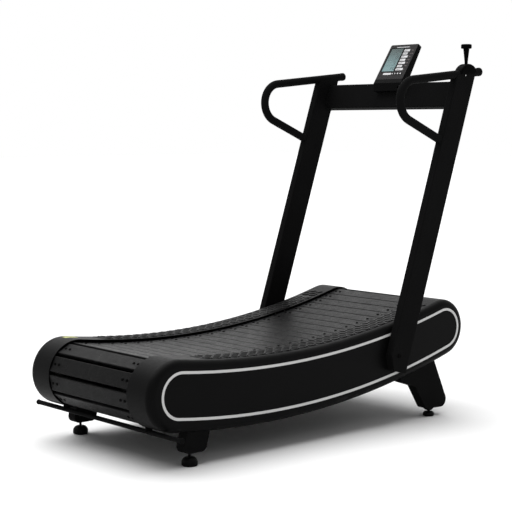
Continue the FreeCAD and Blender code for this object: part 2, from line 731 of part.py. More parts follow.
def lever_arm():
    """Tapered stem, thicker at its top, on a hub that turns on the pin."""
    y, z = LEVER_AT
    hub = rod(HANDLE_X - 8, HANDLE_X + 8, LEVER_AT, 8.5)
    neck = Part.makeCylinder(NECK_R, NECK_LENGTH, V(HANDLE_X, y, z), EZ)
    stem = Part.makeCone(NECK_R, STEM_TOP_R, STEM_LENGTH, V(HANDLE_X, y, z + NECK_LENGTH), EZ)
    arm = hub.fuse(neck).fuse(stem).removeSplitter()
    return arm.cut(rod(HANDLE_X - 20, HANDLE_X + 20, LEVER_AT, LEVER_PIN_R + BEARING_FIT))


def lever_knob():
    y, z = LEVER_AT
    knob = Part.makeCylinder(KNOB_R, KNOB_HEIGHT, V(HANDLE_X, y, z + NECK_LENGTH + STEM_LENGTH + 0.2), EZ)
    return round_edges(knob, 5.0, lambda e: e.BoundBox.DiagonalLength > 20 and e.BoundBox.ZLength < 1)


def lever_pin():
    return rod(HANDLE_X - 16, HANDLE_X + 16, LEVER_AT, LEVER_PIN_R)


# --- legs, feet, lift bar, wheels --------------------------------------------------------------
def rounded_plate(points, radii, x0, x1):
    """A plate whose corners along X are rounded, each by its own radius."""
    solid = plate(points, x0, x1)
    for point, radius in zip(points, radii):
        if radius:
            solid = round_edges(solid, radius, lambda e, p=point: along_x(e) and
                                math.dist((e.CenterOfMass.y, e.CenterOfMass.z), p) < 0.5)
    return solid


def hollow_wall(points, by):
    """The polygon with every side moved inwards by the sheet's thickness."""
    count = len(points)
    result = []
    for i, point in enumerate(points):
        before, after = heading(points[i - 1], point), heading(point, points[(i + 1) % count])
        half_turn = (after - before) / 2
        inward = (before + after) / 2 + math.pi / 2 + (math.pi if abs(half_turn) > math.pi / 2 else 0)
        result.append(polar(point, by / abs(math.cos(half_turn)), inward))
    return result


def hollow_leg(points, radii):
    """A leg folded from sheet: closed all round and open at its top."""
    outer = rounded_plate(points, radii, *LEG_X)
    lifted = hollow_wall(points, LEG_SHEET)
    for end in (0, -1):
        lifted[end] = (lifted[end][0], lifted[end][1] + 2 * LEG_SHEET)
    inner_radii = [max(r - LEG_SHEET, 0) for r in radii]
    return outer.cut(rounded_plate(lifted, inner_radii, LEG_X[0] + LEG_SHEET, LEG_X[1] - LEG_SHEET))


def leg_arm(y0, y1, z):
    """Folded bracket from the leg's inner wall to the side plate."""
    shelf = box((PLATE_X[1] + 0.2, LEG_X[0] + 1), (y0, y1), (z, z + 5))
    flange = box((PLATE_X[1] + 0.2, PLATE_X[1] + 5.2), (y0, y1), (z, z + 40))
    return shelf.fuse(flange)


def stud_hole(y):
    return Part.makeCylinder(STUD_BORE, 40, V(FOOT_X, y, 25), EZ)


def rear_leg():
    leg = hollow_leg(REAR_LEG, REAR_LEG_R).fuse(leg_arm(*REAR_ARM)).removeSplitter()
    return leg.cut(stud_hole(REAR_FOOT_Y))


def front_leg():
    leg = hollow_leg(FRONT_LEG, FRONT_LEG_R).fuse(leg_arm(*FRONT_ARM)).removeSplitter()
    pin_hole = rod(LEG_X[0] - 5, LEG_X[0] + 8, WHEEL_AT, WHEEL_PIN_R + 0.1)
    return leg.cut(stud_hole(FRONT_FOOT_Y)).cut(pin_hole)


def levelling_foot(foot):
    """Domed pad and threaded stud, moulded in one."""
    y, pad_r, pad_h, neck_r, stud_top, _ = foot
    rim_low, rim_high = 4.0, pad_h * 0.3
    quarter = math.sqrt(0.5)
    shoulder = V(FOOT_X + neck_r + (pad_r - neck_r) * quarter, y, rim_high + (pad_h - rim_high) * quarter)
    start, end = V(FOOT_X + pad_r, y, rim_high), V(FOOT_X + neck_r, y, pad_h)
    below = [V(FOOT_X, y, 0), V(FOOT_X + pad_r - rim_low, y, 0), V(FOOT_X + pad_r, y, rim_low), start]
    stud_x = FOOT_X + FOOT_STUD_R
    above = [end, V(stud_x, y, pad_h), V(stud_x, y, stud_top), V(FOOT_X, y, stud_top), below[0]]
    edges = [Part.LineSegment(p, q).toShape() for line in (below, above) for p, q in zip(line, line[1:])]
    edges.insert(len(below) - 1, Part.Arc(start, shoulder, end).toShape())
    return Part.Face(Part.Wire(edges)).revolve(V(FOOT_X, y, 0), EZ, 360)


def lock_nuts():
    """A hexagon nut inside each leg, on the sheet above the foot."""
    right = []
    for foot in (REAR_FOOT, FRONT_FOOT):
        corners = [polar((FOOT_X, foot.y), NUT_R, math.pi * i / 3) for i in range(6)]
        ring = [V(x, y, foot.nut_z) for x, y in corners]
        nut = Part.Face(Part.makePolygon(ring + ring[:1])).extrude(V(0, 0, NUT_HEIGHT))
        right.append(nut.cut(Part.makeCylinder(STUD_BORE, 20, V(FOOT_X, foot.y, foot.nut_z - 5), EZ)))
    return group(right + [mirrored(n) for n in right])


def bar_tab_block(gap):
    """The tab that hangs the lift bar on the inner side of the side plate."""
    y, z = LIFT_BAR_AT
    half, low, top = TAB_HALF + gap, z - gap, z + TAB_RISE
    corners = [(y - half, low), (y + half, low), (y + half + TAB_SLANT, top), (y - half + TAB_SLANT, top)]
    return plate(corners, PLATE_X[0] - TAB_SHEET - gap, PLATE_X[0] + gap)


def lift_bar():
    """Round bar across the rear, hung under the side plates by two tabs."""
    bar = rod(-LIFT_BAR_HALF + 5, LIFT_BAR_HALF - 5, LIFT_BAR_AT, LIFT_BAR_R)
    tab = bar_tab_block(0)
    return bar.fuse(tab).fuse(mirrored(tab)).removeSplitter()


def lift_bar_caps():
    cap = rod(LIFT_BAR_HALF - 5, LIFT_BAR_HALF, LIFT_BAR_AT, LIFT_BAR_R + 1.5)
    cap = round_edges(cap, 2.0, lambda e: at_x(e, LIFT_BAR_HALF))
    return group([cap, mirrored(cap)])


def transport_wheel():
    x0, x1 = WHEEL_X
    wheel = tube(x0, x1, WHEEL_AT, WHEEL_R, WHEEL_PIN_R + BEARING_FIT)
    wheel = round_edges(wheel, 3.0, lambda e: e.BoundBox.ZLength > 50 and e.BoundBox.XLength < 0.01)
    for face in ((x0 - 1, x0 + 5), (x1 - 5, x1 + 1)):
        wheel = wheel.cut(tube(*face, WHEEL_AT, WHEEL_R * 0.75, 12))
    return wheel


def wheel_pins():
    shank = rod(296, 332, WHEEL_AT, WHEEL_PIN_R)
    right = shank.fuse(rod(293, 297.5, WHEEL_AT, WHEEL_PIN_R + 3)).removeSplitter()
    return group([right, mirrored(right)])


# --- the whole machine -------------------------------------------------------------------------
def save_pair(name, shape):
    save(name + "_right", shape)
    save(name + "_left", mirrored(shape))


def main():
    os.makedirs("parts", exist_ok=True)
    for name, shape in (("side_cover", side_cover()), ("cover_stripe", cover_stripe()),
                        ("grip_pad", grip_pad()), ("side_plate", side_plate()),
                        ("upright", upright()), ("handle", handle()), ("rear_leg", rear_leg()),
                        ("front_leg", front_leg()), ("transport_wheel", transport_wheel())):
        save_pair(name, shape)
    save("cross_tubes", group([cross_tube(at) for at in cross_tube_places()]))
    save_pair("foot_rear", levelling_foot(REAR_FOOT))
    save_pair("foot_front", levelling_foot(FRONT_FOOT))
    save("support_rollers", support_rollers())
    save("roller_studs", roller_studs())
    save_belt()
    for place, at, pitch_r in (("rear", BELT.rear, BELT.rear_r), ("front", BELT.front, BELT.front_r)):
        save(place + "_axle", axle(at))
        save(place + "_pulleys", pulley_pair(at, pitch_r))
    save("brake_disc", brake_disc())
    save("magnet_caliper", magnet_caliper())
    save("caliper_pin", caliper_pin())
    save("axle_bearings", axle_bearings())
    save("upright_bolts", upright_bolts())
    save("upright_spacers", upright_spacers())
    save("handle_caps", handle_caps())
    save("crossbar", crossbar())
    save("console_housing", console_housing())
    save("console_face", console_face())
    save("lcd_window", lcd_window())
    for i, x in enumerate(BUTTON_X, start=1):
        save("console_button_" + str(i), console_button(x))
    save("console_bracket", console_bracket())
    save("lever_housing", lever_housing())
    save("lever_arm", lever_arm())
    save("lever_knob", lever_knob())
    save("lever_pin", lever_pin())
    save("foot_lock_nuts", lock_nuts())
    save("lift_bar", lift_bar())
    save("lift_bar_caps", lift_bar_caps())
    save("wheel_pins", wheel_pins())


main()
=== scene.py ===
"""Looks of a curved manual treadmill, built round its packed construction model.

All places are in metres in the machine's own frame: +X to the runner's right, +Y the way the
runner faces, +Z up, with the origin on the floor under the middle of the machine.
"""

import logging
import math
from collections.abc import Callable, Iterable, Sequence
from dataclasses import dataclass, field
from enum import Enum

import bmesh
import bpy
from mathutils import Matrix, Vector
from mathutils.bvhtree import BVHTree
from mathutils.geometry import convex_hull_2d

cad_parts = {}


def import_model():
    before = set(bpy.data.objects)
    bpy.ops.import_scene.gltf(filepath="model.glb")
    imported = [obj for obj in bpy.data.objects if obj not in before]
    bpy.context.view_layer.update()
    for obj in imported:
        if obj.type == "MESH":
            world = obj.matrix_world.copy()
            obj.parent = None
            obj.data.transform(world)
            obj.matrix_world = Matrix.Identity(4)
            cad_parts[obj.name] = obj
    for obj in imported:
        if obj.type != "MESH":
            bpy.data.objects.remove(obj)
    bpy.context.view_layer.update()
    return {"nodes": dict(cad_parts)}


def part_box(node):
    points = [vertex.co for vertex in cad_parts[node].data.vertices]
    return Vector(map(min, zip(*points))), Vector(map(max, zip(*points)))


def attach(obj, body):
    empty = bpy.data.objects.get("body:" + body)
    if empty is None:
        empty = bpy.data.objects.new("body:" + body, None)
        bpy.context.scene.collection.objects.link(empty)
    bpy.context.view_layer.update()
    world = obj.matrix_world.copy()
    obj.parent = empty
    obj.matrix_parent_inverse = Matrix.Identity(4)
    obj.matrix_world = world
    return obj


LOG = logging.getLogger("treadmill")
MM = 0.001
SIDES = {"left": -1, "right": 1}
SHARP_ANGLE = math.radians(32)
UNEVEN_ROUGHNESS = 0.35
DUST_ROUGHNESS = 0.3
FACE_DEPTH = 0.2 * MM
END_DEPTH = 0.05 * MM
CUT_DEPTH = 0.3 * MM
ABOVE = 0.1
ACROSS, AHEAD, UPRIGHT = Vector((1, 0, 0)), Vector((0, 1, 0)), Vector((0, 0, 1))
FRAME_BODY = "frame"
FLOAT, VECTOR, COLOUR = "NodeSocketFloat", "NodeSocketVector", "NodeSocketColor"
INTEGER, GEOMETRY = "NodeSocketInt", "NodeSocketGeometry"
OBJECT, MATERIAL = "NodeSocketObject", "NodeSocketMaterial"

Colour = tuple[float, float, float]
Point2 = tuple[float, float]
Feed = bpy.types.NodeSocket | bpy.types.Node | float | Sequence[float]


class Slot(Enum):
    """The record's material slots, one given with each new piece."""

    CASING = "casing"
    FOOT_RAIL = "foot_rail"
    PAINT = "frame_paint"
    STRIPE = "stripe"
    LCD = "lcd"
    ZINC = "zinc_steel"
    FOOT = "foot_rubber"
    PLASTIC = "black_plastic"


class Grain(Enum):
    """How the fine relief of a surface runs."""

    PEBBLED = (1.0, 1.0, 1.0)
    TURNED = (1.0, 0.02, 0.02)


# --- node trees ----------------------------------------------------------------------------------
class Graph:
    """Short calls for adding and joining the nodes of one tree."""

    def __init__(self, tree: bpy.types.NodeTree) -> None:
        """Starts on an empty tree.

        Args:
            tree: The node tree that nodes are added to.
        """
        self.tree = tree
        tree.nodes.clear()

    def feed(self, socket: bpy.types.NodeSocket, value: Feed) -> None:
        """Joins a socket, or a node's first output, to an input, or sets a plain value on it."""
        if isinstance(value, bpy.types.Node):
            value = value.outputs[0]
        if isinstance(value, bpy.types.NodeSocket):
            self.tree.links.new(value, socket)
        else:
            socket.default_value = value

    def add(self, kind: str, inputs: dict[str | int, Feed] | None = None, **settings) -> bpy.types.Node:
        """Adds one node.

        Args:
            kind: The node's type name.
            inputs: What feeds each input, by the input's name or number.
            **settings: Properties set on the node itself.

        Returns:
            The new node.
        """
        node = self.tree.nodes.new(kind)
        for key, value in settings.items():
            setattr(node, key, value)
        for key, value in (inputs or {}).items():
            self.feed(node.inputs[key], value)
        return node

    def maths(self, operation: str, *values: Feed, clamp: bool = False) -> bpy.types.NodeSocket:
        """The result of one Math node."""
        kind = "ShaderNodeMath"
        return self.add(kind, dict(enumerate(values)), operation=operation, use_clamp=clamp).outputs[0]

    def times(self, *values: Feed, clamp: bool = False) -> bpy.types.NodeSocket:
        """Two values multiplied."""
        return self.maths("MULTIPLY", *values, clamp=clamp)

    def axis(self, vector: Feed, name: str) -> bpy.types.NodeSocket:
        """One of a vector's three numbers."""
        return self.add("ShaderNodeSeparateXYZ", {0: vector}).outputs[name]

    def vector(self, operation: str, *values: Feed) -> bpy.types.Node:
        """One Vector Math node."""
        return self.add("ShaderNodeVectorMath", dict(enumerate(values)), operation=operation)

    def blend(self, factor: Feed, first: Feed, second: Feed) -> bpy.types.NodeSocket:
        """A colour that goes from first to second as factor goes from 0 to 1."""
        inputs = {"Factor": factor, 6: first, 7: second}
        return self.add("ShaderNodeMix", inputs, data_type="RGBA").outputs[2]

    def ramp(self, value: Feed, low: float, high: float, to_low: Feed = 0.0,
             to_high: Feed = 1.0) -> bpy.types.NodeSocket:
        """A smooth step of value from low to high."""
        inputs = {0: value, 1: low, 2: high, 3: to_low, 4: to_high}
        return self.add("ShaderNodeMapRange", inputs, interpolation_type="SMOOTHSTEP").outputs[0]

    def place(self) -> bpy.types.NodeSocket:
        """The surface's place in the machine's frame."""
        return self.add("ShaderNodeTexCoord").outputs["Object"]

    def noise(self, place: Feed, scale: Feed, detail: float = 2.0) -> bpy.types.NodeSocket:
        """Grey cloudy noise, about 0.3 to 0.7."""
        inputs = {"Vector": place, "Scale": scale, "Detail": detail}
        return self.add("ShaderNodeTexNoise", inputs).outputs[0]


class NodeGroup:
    """A node group with named inputs and outputs."""

    def __init__(self, name: str, kind: str, inputs: dict[str, tuple], outputs: dict[str, str]) -> None:
        """Makes the group and its sockets.

        Args:
            name: The group's name.
            kind: The tree's type name.
            inputs: For each input, its socket type and, where it has one, its default.
            outputs: For each output, its socket type.
        """
        self.tree = bpy.data.node_groups.new(name, kind)
        for label, (socket_type, *default) in inputs.items():
            socket = self.tree.interface.new_socket(name=label, in_out="INPUT", socket_type=socket_type)
            if default:
                socket.default_value = default[0]
        for label, socket_type in outputs.items():
            self.tree.interface.new_socket(name=label, in_out="OUTPUT", socket_type=socket_type)
        self.graph = Graph(self.tree)
        self.given = self.graph.add("NodeGroupInput").outputs
        self.result = self.graph.add("NodeGroupOutput").inputs

    def give(self, **outputs: Feed) -> "NodeGroup":
        """Feeds the group's outputs, by name with _ for a space, and returns the group."""
        for label, value in outputs.items():
            self.graph.feed(self.result[label.replace("_", " ")], value)
        return self

    def end(self, label: str, geometry: Feed) -> "NodeGroup":
        """Ends a Geometry Nodes tree: its instances made real, in the material that was given."""
        real = self.graph.add("GeometryNodeRealizeInstances", {"Geometry": geometry})
        inputs = {"Geometry": real, "Material": self.given["Material"]}
        return self.give(**{label: self.graph.add("GeometryNodeSetMaterial", inputs)})


class Effects:
    """The shader groups that several finishes share, each built once, and the materials made."""

    FINE_NOISE_RATIO = 2.3
    CELL_SHARE = 0.6
    FLECK_RATIO = 0.12
    SWING = 3.0
    EDGE_TURN = (0.03, 0.3)
    RUBBED_SCALE = 90.0
    RUBBED_BAND = (0.42, 0.62)
    UPWARD_BAND = (0.35, 0.95)
    DUST_SCALE = 14.0
    DUST_BAND = (0.35, 0.75)

    def __init__(self) -> None:
        """Builds every shared group."""
        self.grain = self._grain()
        self.drift = self._drift()
        self.wear = self._wear()
        self.dust = self._dust()
        self.made: dict[str, bpy.types.Material] = {}

    def _grain(self) -> bpy.types.NodeTree:
        """Fine relief: rounded grains with finer noise between them."""
        group = NodeGroup("fine_grain", "ShaderNodeTree",
                          {"Size": (FLOAT, 0.001), "Stretch": (VECTOR, (1.0, 1.0, 1.0))},
                          {"Height": FLOAT, "Fleck": FLOAT})
        g, given = group.graph, group.given
        place = g.vector("MULTIPLY", g.place(), given["Stretch"])
        scale = g.maths("DIVIDE", 1.0, given["Size"])
        cells = g.add("ShaderNodeTexVoronoi", {"Vector": place, "Scale": scale}, feature="SMOOTH_F1")
        fine = g.noise(place, g.times(scale, self.FINE_NOISE_RATIO), 3.0)
        height = g.maths("SUBTRACT", fine, g.times(cells, self.CELL_SHARE))
        fleck = g.noise(place, g.times(scale, self.FLECK_RATIO), 3.0)
        return group.give(Height=height, Fleck=fleck).tree

    def _drift(self) -> bpy.types.NodeTree:
        """A tone that drifts lighter and darker over broad patches."""
        inputs = {"Tone": (COLOUR, (0.5, 0.5, 0.5, 1.0)), "Spread": (FLOAT, 0.1), "Size": (FLOAT, 0.1)}
        group = NodeGroup("tone_drift", "ShaderNodeTree", inputs, {"Color": COLOUR})
        g, given = group.graph, group.given
        cloud = g.noise(g.place(), g.maths("DIVIDE", 1.0, given["Size"]), 4.0)
        spread = g.times(given["Spread"], self.SWING)
        swing = g.times(g.maths("SUBTRACT", cloud, 0.5), spread)
        scaled = g.vector("SCALE", given["Tone"])
        g.feed(scaled.inputs["Scale"], g.maths("ADD", 1.0, swing))
        return group.give(Color=scaled).tree

    def _wear(self) -> bpy.types.NodeTree:
        """Softened corners, and a broken mask of where they are rubbed."""
        inputs = {"Radius": (FLOAT, 0.001), "Amount": (FLOAT, 0.3)}
        group = NodeGroup("edge_wear", "ShaderNodeTree", inputs, {"Mask": FLOAT, "Normal": VECTOR})
        g, given = group.graph, group.given
        soft = g.add("ShaderNodeBevel", {"Radius": given["Radius"]}, samples=4)
        true = g.add("ShaderNodeNewGeometry").outputs["Normal"]
        turn = g.maths("SUBTRACT", 1.0, g.vector("DOT_PRODUCT", soft, true).outputs["Value"])
        edge = g.ramp(turn, *self.EDGE_TURN)
        broken = g.ramp(g.noise(g.place(), self.RUBBED_SCALE, 4.0), *self.RUBBED_BAND)
        mask = g.times(g.times(edge, broken), given["Amount"], clamp=True)
        return group.give(Mask=mask, Normal=soft).tree

    def _dust(self) -> bpy.types.NodeTree:
        """Where dust lies: patches on whatever faces up."""
        group = NodeGroup("settled_dust", "ShaderNodeTree", {"Amount": (FLOAT, 0.1)}, {"Mask": FLOAT})
        g, given = group.graph, group.given
        normal = g.add("ShaderNodeNewGeometry").outputs["Normal"]
        upward = g.ramp(g.axis(normal, "Z"), *self.UPWARD_BAND)
        patches = g.ramp(g.noise(g.place(), self.DUST_SCALE, 6.0), *self.DUST_BAND)
        mask = g.times(g.times(upward, patches), given["Amount"], clamp=True)
        return group.give(Mask=mask).tree


# --- finishes ------------------------------------------------------------------------------------
@dataclass(frozen=True)
class Finish:
    """A painted, moulded, rubber or metal surface.

    Lengths are in metres. shine is the shader's specular level; wear and dust are shares from 0 to 1.
    """

    name: str
    tone: Colour
    rough: float = 0.5
    shine: float = 0.2
    metal: float = 0.0
    grain: Grain = Grain.PEBBLED
    grain_size: float = 0.0009
    grain_depth: float = 0.00005
    tone_spread: float = 0.15
    patch_size: float = 0.12
    edge_radius: float = 0.0008
    edge_tone: Colour = (0.03, 0.03, 0.031)
    wear: float = 0.35
    dust: float = 0.04
    dust_tone: Colour = (0.16, 0.155, 0.15)

    def base(self, g: Graph, effects: Effects) -> Feed:
        """The colour before wear and dust."""
        tone = (*self.tone, 1.0)
        return self.group(g, effects.drift, Tone=tone, Spread=self.tone_spread, Size=self.patch_size)

    @staticmethod
    def group(g: Graph, tree: bpy.types.NodeTree, **inputs: Feed) -> bpy.types.Node:
        """A shared group set in a material with its own values."""
        node = g.add("ShaderNodeGroup", node_tree=tree)
        for label, value in inputs.items():
            g.feed(node.inputs[label], value)
        return node

    def material(self, effects: Effects) -> bpy.types.Material:
        """The finish as a material, made on its first use.

        Args:
            effects: The shared shader groups.

        Returns:
            The material.
        """
        if self.name in effects.made:
            return effects.made[self.name]
        made = effects.made[self.name] = bpy.data.materials.new(self.name)
        made.use_nodes = True
        g = Graph(made.node_tree)
        grain = self.group(g, effects.grain, Size=self.grain_size, Stretch=self.grain.value)
        wear = self.group(g, effects.wear, Radius=self.edge_radius, Amount=self.wear)
        dust = self.group(g, effects.dust, Amount=self.dust)
        worn = g.blend(wear.outputs["Mask"], self.base(g, effects), (*self.edge_tone, 1.0))
        colour = g.blend(dust, worn, (*self.dust_tone, 1.0))
        uneven = g.times(g.maths("SUBTRACT", grain.outputs["Fleck"], 0.5), UNEVEN_ROUGHNESS)
        dusty = g.times(dust, DUST_ROUGHNESS)
        rough = g.maths("ADD", g.maths("ADD", self.rough, uneven), dusty, clamp=True)
        bump = g.add("ShaderNodeBump", {"Strength": 1.0, "Distance": self.grain_depth,
                                        "Height": grain.outputs["Height"], "Normal": wear.outputs["Normal"]})
        inputs = {"Base Color": colour, "Roughness": rough, "Normal": bump}
        shader = g.add("ShaderNodeBsdfPrincipled", inputs)
        shader.inputs["Specular IOR Level"].default_value = self.shine
        shader.inputs["Metallic"].default_value = self.metal
        g.feed(g.add("ShaderNodeOutputMaterial").inputs["Surface"], shader)
        return made


@dataclass(frozen=True)
class RunningRubber(Finish):
    """Rubber worn by shoes: streaks along the run, strongest in the middle of the belt."""

    streak_tone: Colour = (0.011, 0.011, 0.011)
    streak_half_width: float = 0.19
    streak_scale: Colour = (70.0, 9.0, 9.0)
    streak_band: Point2 = (0.5, 0.72)
    full_half_width: float = 0.05
    strength: float = 0.8

    def base(self, g: Graph, effects: Effects) -> Feed:
        """The rubber's tone with shoe streaks over it."""
        plain = Finish.base(self, g, effects)
        place = g.place()
        cloud = g.noise(g.vector("MULTIPLY", place, self.streak_scale), 1.0, 5.0)
        streaks = g.ramp(cloud, *self.streak_band)
        across = g.maths("ABSOLUTE", g.axis(place, "X"))
        middle = g.ramp(across, self.full_half_width, self.streak_half_width, self.strength, 0.0)
        return g.blend(g.times(streaks, middle), plain, (*self.streak_tone, 1.0))


@dataclass(frozen=True)
class DisplayFinish(Finish):
    """The back of a liquid crystal display: paler towards its foot, with a fine cell grid."""

    foot_tone: Colour = (0.19, 0.30, 0.31)
    cell_tone: Colour = (0.05, 0.08, 0.08)
    cell_share: float = 0.10
    foot_height: float = 1.48
    head_height: float = 1.59
    cell: float = 0.0012

    def base(self, g: Graph, effects: Effects) -> Feed:
        """The display's tone from head to foot, with its cells."""
        place = g.place()
        rise = g.ramp(g.axis(place, "Z"), self.foot_height, self.head_height)
        tone = g.blend(rise, (*self.foot_tone, 1.0), (*self.tone, 1.0))
        cells = g.add("ShaderNodeTexChecker", {"Vector": place, "Scale": 1.0 / self.cell}).outputs[1]
        return g.blend(g.times(cells, self.cell_share), tone, (*self.cell_tone, 1.0))


@dataclass(frozen=True)
class Finishes:
    """Every finish on the machine."""

    casing: Finish = Finish(
        "casing_satin", (0.0024, 0.0024, 0.0025), rough=0.4, shine=0.035, grain_size=0.0011,
        grain_depth=0.00003, edge_radius=0.0012, wear=0.2, dust=0.02)
    stripe: Finish = Finish(
        "stripe_silver", (0.58, 0.58, 0.575), rough=0.35, shine=0.4, grain_depth=0.000015, tone_spread=0.04,
        edge_radius=0.0002, edge_tone=(0.62, 0.62, 0.62), wear=0.2, dust=0.0)
    paint: Finish = Finish(
        "powder_coat", (0.0058, 0.0058, 0.0059), shine=0.006, grain_size=0.0007, grain_depth=0.00003,
        edge_radius=0.0012, wear=0.25, dust=0.02)
    # The rail rubber's lighter edge tone is partly rubbed wear and partly a painted highlight on the rib
    # rims.
    tread: Finish = Finish(
        "rail_rubber", (0.007, 0.007, 0.0072), rough=0.42, shine=0.075, grain_size=0.0008,
        grain_depth=0.00006, edge_tone=(0.06, 0.06, 0.06), dust=0.025)
    slat: Finish = RunningRubber(
        "worn_slat_rubber", (0.0032, 0.0032, 0.0033), rough=0.34, shine=0.044, grain_size=0.0035,
        grain_depth=0.0007, edge_radius=0.001, wear=0.03, dust=0.015)
    belt: Finish = Finish(
        "smooth_belt_rubber", (0.004, 0.004, 0.004), rough=0.7, shine=0.05, grain_depth=0.00004)
    zinc: Finish = Finish(
        "zinc_plate", (0.42, 0.42, 0.41), rough=0.36, metal=1.0, shine=0.5, grain_size=0.0004,
        grain_depth=0.00001, edge_tone=(0.6, 0.6, 0.6), dust=0.05)
    screw: Finish = Finish(
        "black_screw", (0.002, 0.002, 0.002), rough=0.4, shine=0.012, grain_size=0.0004, grain_depth=0.00001,
        edge_radius=0.0003, edge_tone=(0.05, 0.05, 0.05), wear=0.1, dust=0.0)
    turned: Finish = Finish(
        "turned_shaft_steel", (0.48, 0.48, 0.49), rough=0.28, metal=1.0, shine=0.5, grain=Grain.TURNED,
        grain_size=0.0003, grain_depth=0.00001, edge_tone=(0.65, 0.65, 0.65), dust=0.03)
    shaft: Finish = Finish(
        "blackened_shaft", (0.012, 0.012, 0.013), rough=0.4, shine=0.1, grain=Grain.TURNED,
        grain_size=0.0003, grain_depth=0.00001, dust=0.0)
    alloy: Finish = Finish(
        "sand_cast_alloy", (0.46, 0.47, 0.48), rough=0.42, metal=1.0, shine=0.5, grain_depth=0.00003,
        edge_tone=(0.62, 0.62, 0.62), dust=0.05)
    # The pulleys' black tone is painted shade: it darkens what shows through the gaps between the slats.
    cast: Finish = Finish(
        "painted_shade_black_alloy", (0.006, 0.006, 0.006), rough=0.55, shine=0.03, grain_size=0.0012,
        grain_depth=0.00006, edge_tone=(0.10, 0.10, 0.10), wear=0.5)
    plastic: Finish = Finish(
        "console_plastic", (0.0032, 0.0032, 0.0034), rough=0.42, shine=0.018, grain_size=0.0006,
        grain_depth=0.00003, edge_radius=0.0006, wear=0.2, dust=0.03)
    lever: Finish = Finish(
        "lever_plastic", (0.0018, 0.0018, 0.0019), rough=0.45, shine=0.008, grain_size=0.0006,
        grain_depth=0.00003, edge_radius=0.001, wear=0.3, dust=0.015)
    face: Finish = Finish(
        "console_film", (0.016, 0.0150, 0.0155), rough=0.3, shine=0.04, grain_size=0.0004,
        grain_depth=0.00001, edge_radius=0.0002, wear=0.1, dust=0.02)
    display: Finish = DisplayFinish(
        "display_back", (0.066, 0.090, 0.087), rough=0.25, shine=0.08, grain_size=0.0005,
        grain_depth=0.000004, tone_spread=0.03, edge_radius=0.0002, edge_tone=(0.03, 0.04, 0.04), wear=0.1,
        dust=0.0)
    segment: Finish = Finish(
        "display_segment", (0.014, 0.030, 0.031), rough=0.35, grain_depth=0.000004, edge_radius=0.0001,
        wear=0.0, dust=0.0)
    legend: Finish = Finish(
        "legend_white", (0.66, 0.66, 0.67), grain_size=0.0005, grain_depth=0.000006, tone_spread=0.05,
        edge_radius=0.0001, wear=0.0, dust=0.0)
    faded: Finish = Finish(
        "legend_grey", (0.24, 0.20, 0.20), grain_size=0.0005, grain_depth=0.000006, tone_spread=0.1,
        edge_radius=0.0001, wear=0.0, dust=0.0)
    key: Finish = Finish(
        "keycap", (0.020, 0.020, 0.021), shine=0.25, grain_size=0.0005, grain_depth=0.00002,
        edge_radius=0.0003, wear=0.3, dust=0.0)
    foot: Finish = Finish(
        "moulded_foot_rubber", (0.003, 0.003, 0.003), shine=0.04, grain_size=0.0008, dust=0.06)
    nylon: Finish = Finish(
        "roller_nylon", (0.01, 0.01, 0.01), shine=0.1, grain=Grain.TURNED, grain_size=0.0006,
        grain_depth=0.00003, dust=0.1)
    tag: Finish = Finish(
        "rail_tag", (0.42, 0.44, 0.13), rough=0.45, shine=0.3, grain_size=0.0006, grain_depth=0.00001,
        tone_spread=0.08, edge_radius=0.0002, edge_tone=(0.3, 0.3, 0.1), wear=0.3, dust=0.03)


# --- mesh tools ----------------------------------------------------------------------------------
def soften(mesh: bpy.types.Mesh) -> None:
    """Merges doubles, turns faces outwards and smooths all but the sharp edges."""
    bm = bmesh.new()
    bm.from_mesh(mesh)
    bmesh.ops.remove_doubles(bm, verts=bm.verts, dist=1e-6)
    bmesh.ops.recalc_face_normals(bm, faces=bm.faces)
    for face in bm.faces:
        face.smooth = True
    for edge in bm.edges:
        edge.smooth = len(edge.link_faces) == 2 and edge.calc_face_angle(0.0) < SHARP_ANGLE
    bm.to_mesh(mesh)
    bm.free()


@dataclass
class Workshop:
    """What every sub-assembly works with: the frame, the finishes and the shared effects."""

    nodes: dict[str, bpy.types.Object]
    effects: Effects = field(default_factory=Effects)
    finishes: Finishes = field(default_factory=Finishes)

    def paint(self, finish: Finish, *names: str) -> None:
        """Gives construction nodes a finish.

        Args:
            finish: The finish.
            *names: The nodes' names. One that ends in _ means its left and right.
        """
        material = finish.material(self.effects)
        for name in names:
            for full in ([name + side for side in SIDES] if name.endswith("_") else [name]):
                for slot in self.nodes[full].material_slots:
                    slot.material = material

    def piece(self, name: str, mesh: bpy.types.Mesh, finish: Finish, slot: Slot,
              body: str = FRAME_BODY) -> None:
        """Makes a finished piece of a mesh whose place is in its vertices.

        Args:
            name: The piece's name.
            mesh: The mesh.
            finish: What it is finished in.
            slot: The record's material slot that it belongs to; not used.
            body: The body that it rides on.
        """
        soften(mesh)
        mesh.name = name
        mesh.materials.clear()
        mesh.materials.append(finish.material(self.effects))
        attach(placed(name, mesh), body)
        LOG.info("piece %s: %d faces on %s", name, len(mesh.polygons), body)

    def grown(self, host_mesh: bpy.types.Mesh, group: NodeGroup, finish: Finish,
              values: dict[str, object]) -> bpy.types.Mesh:
        """Runs a Geometry Nodes tree on a mesh.

        Args:
            host_mesh: The mesh that the tree starts from.
            group: The tree.
            finish: What goes into the tree's Material input.
            values: The value of each other input, by its name.

        Returns:
            The result as a plain mesh.
        """
        host = placed("host", host_mesh)
        modifier = host.modifiers.new("nodes", "NODES")
        modifier.node_group = group.tree
        values = values | {"Material": finish.material(self.effects)}
        for item in group.tree.interface.items_tree:
            if item.item_type == "SOCKET" and item.in_out == "INPUT" and item.name in values:
                modifier[item.identifier] = values[item.name]
        made = plain_mesh(host)
        host.modifiers.clear()
        bpy.data.objects.remove(host)
        return made


def placed(name: str, data: bpy.types.ID) -> bpy.types.Object:
    """A new object in the scene."""
    made = bpy.data.objects.new(name, data)
    bpy.context.scene.collection.objects.link(made)
    return made


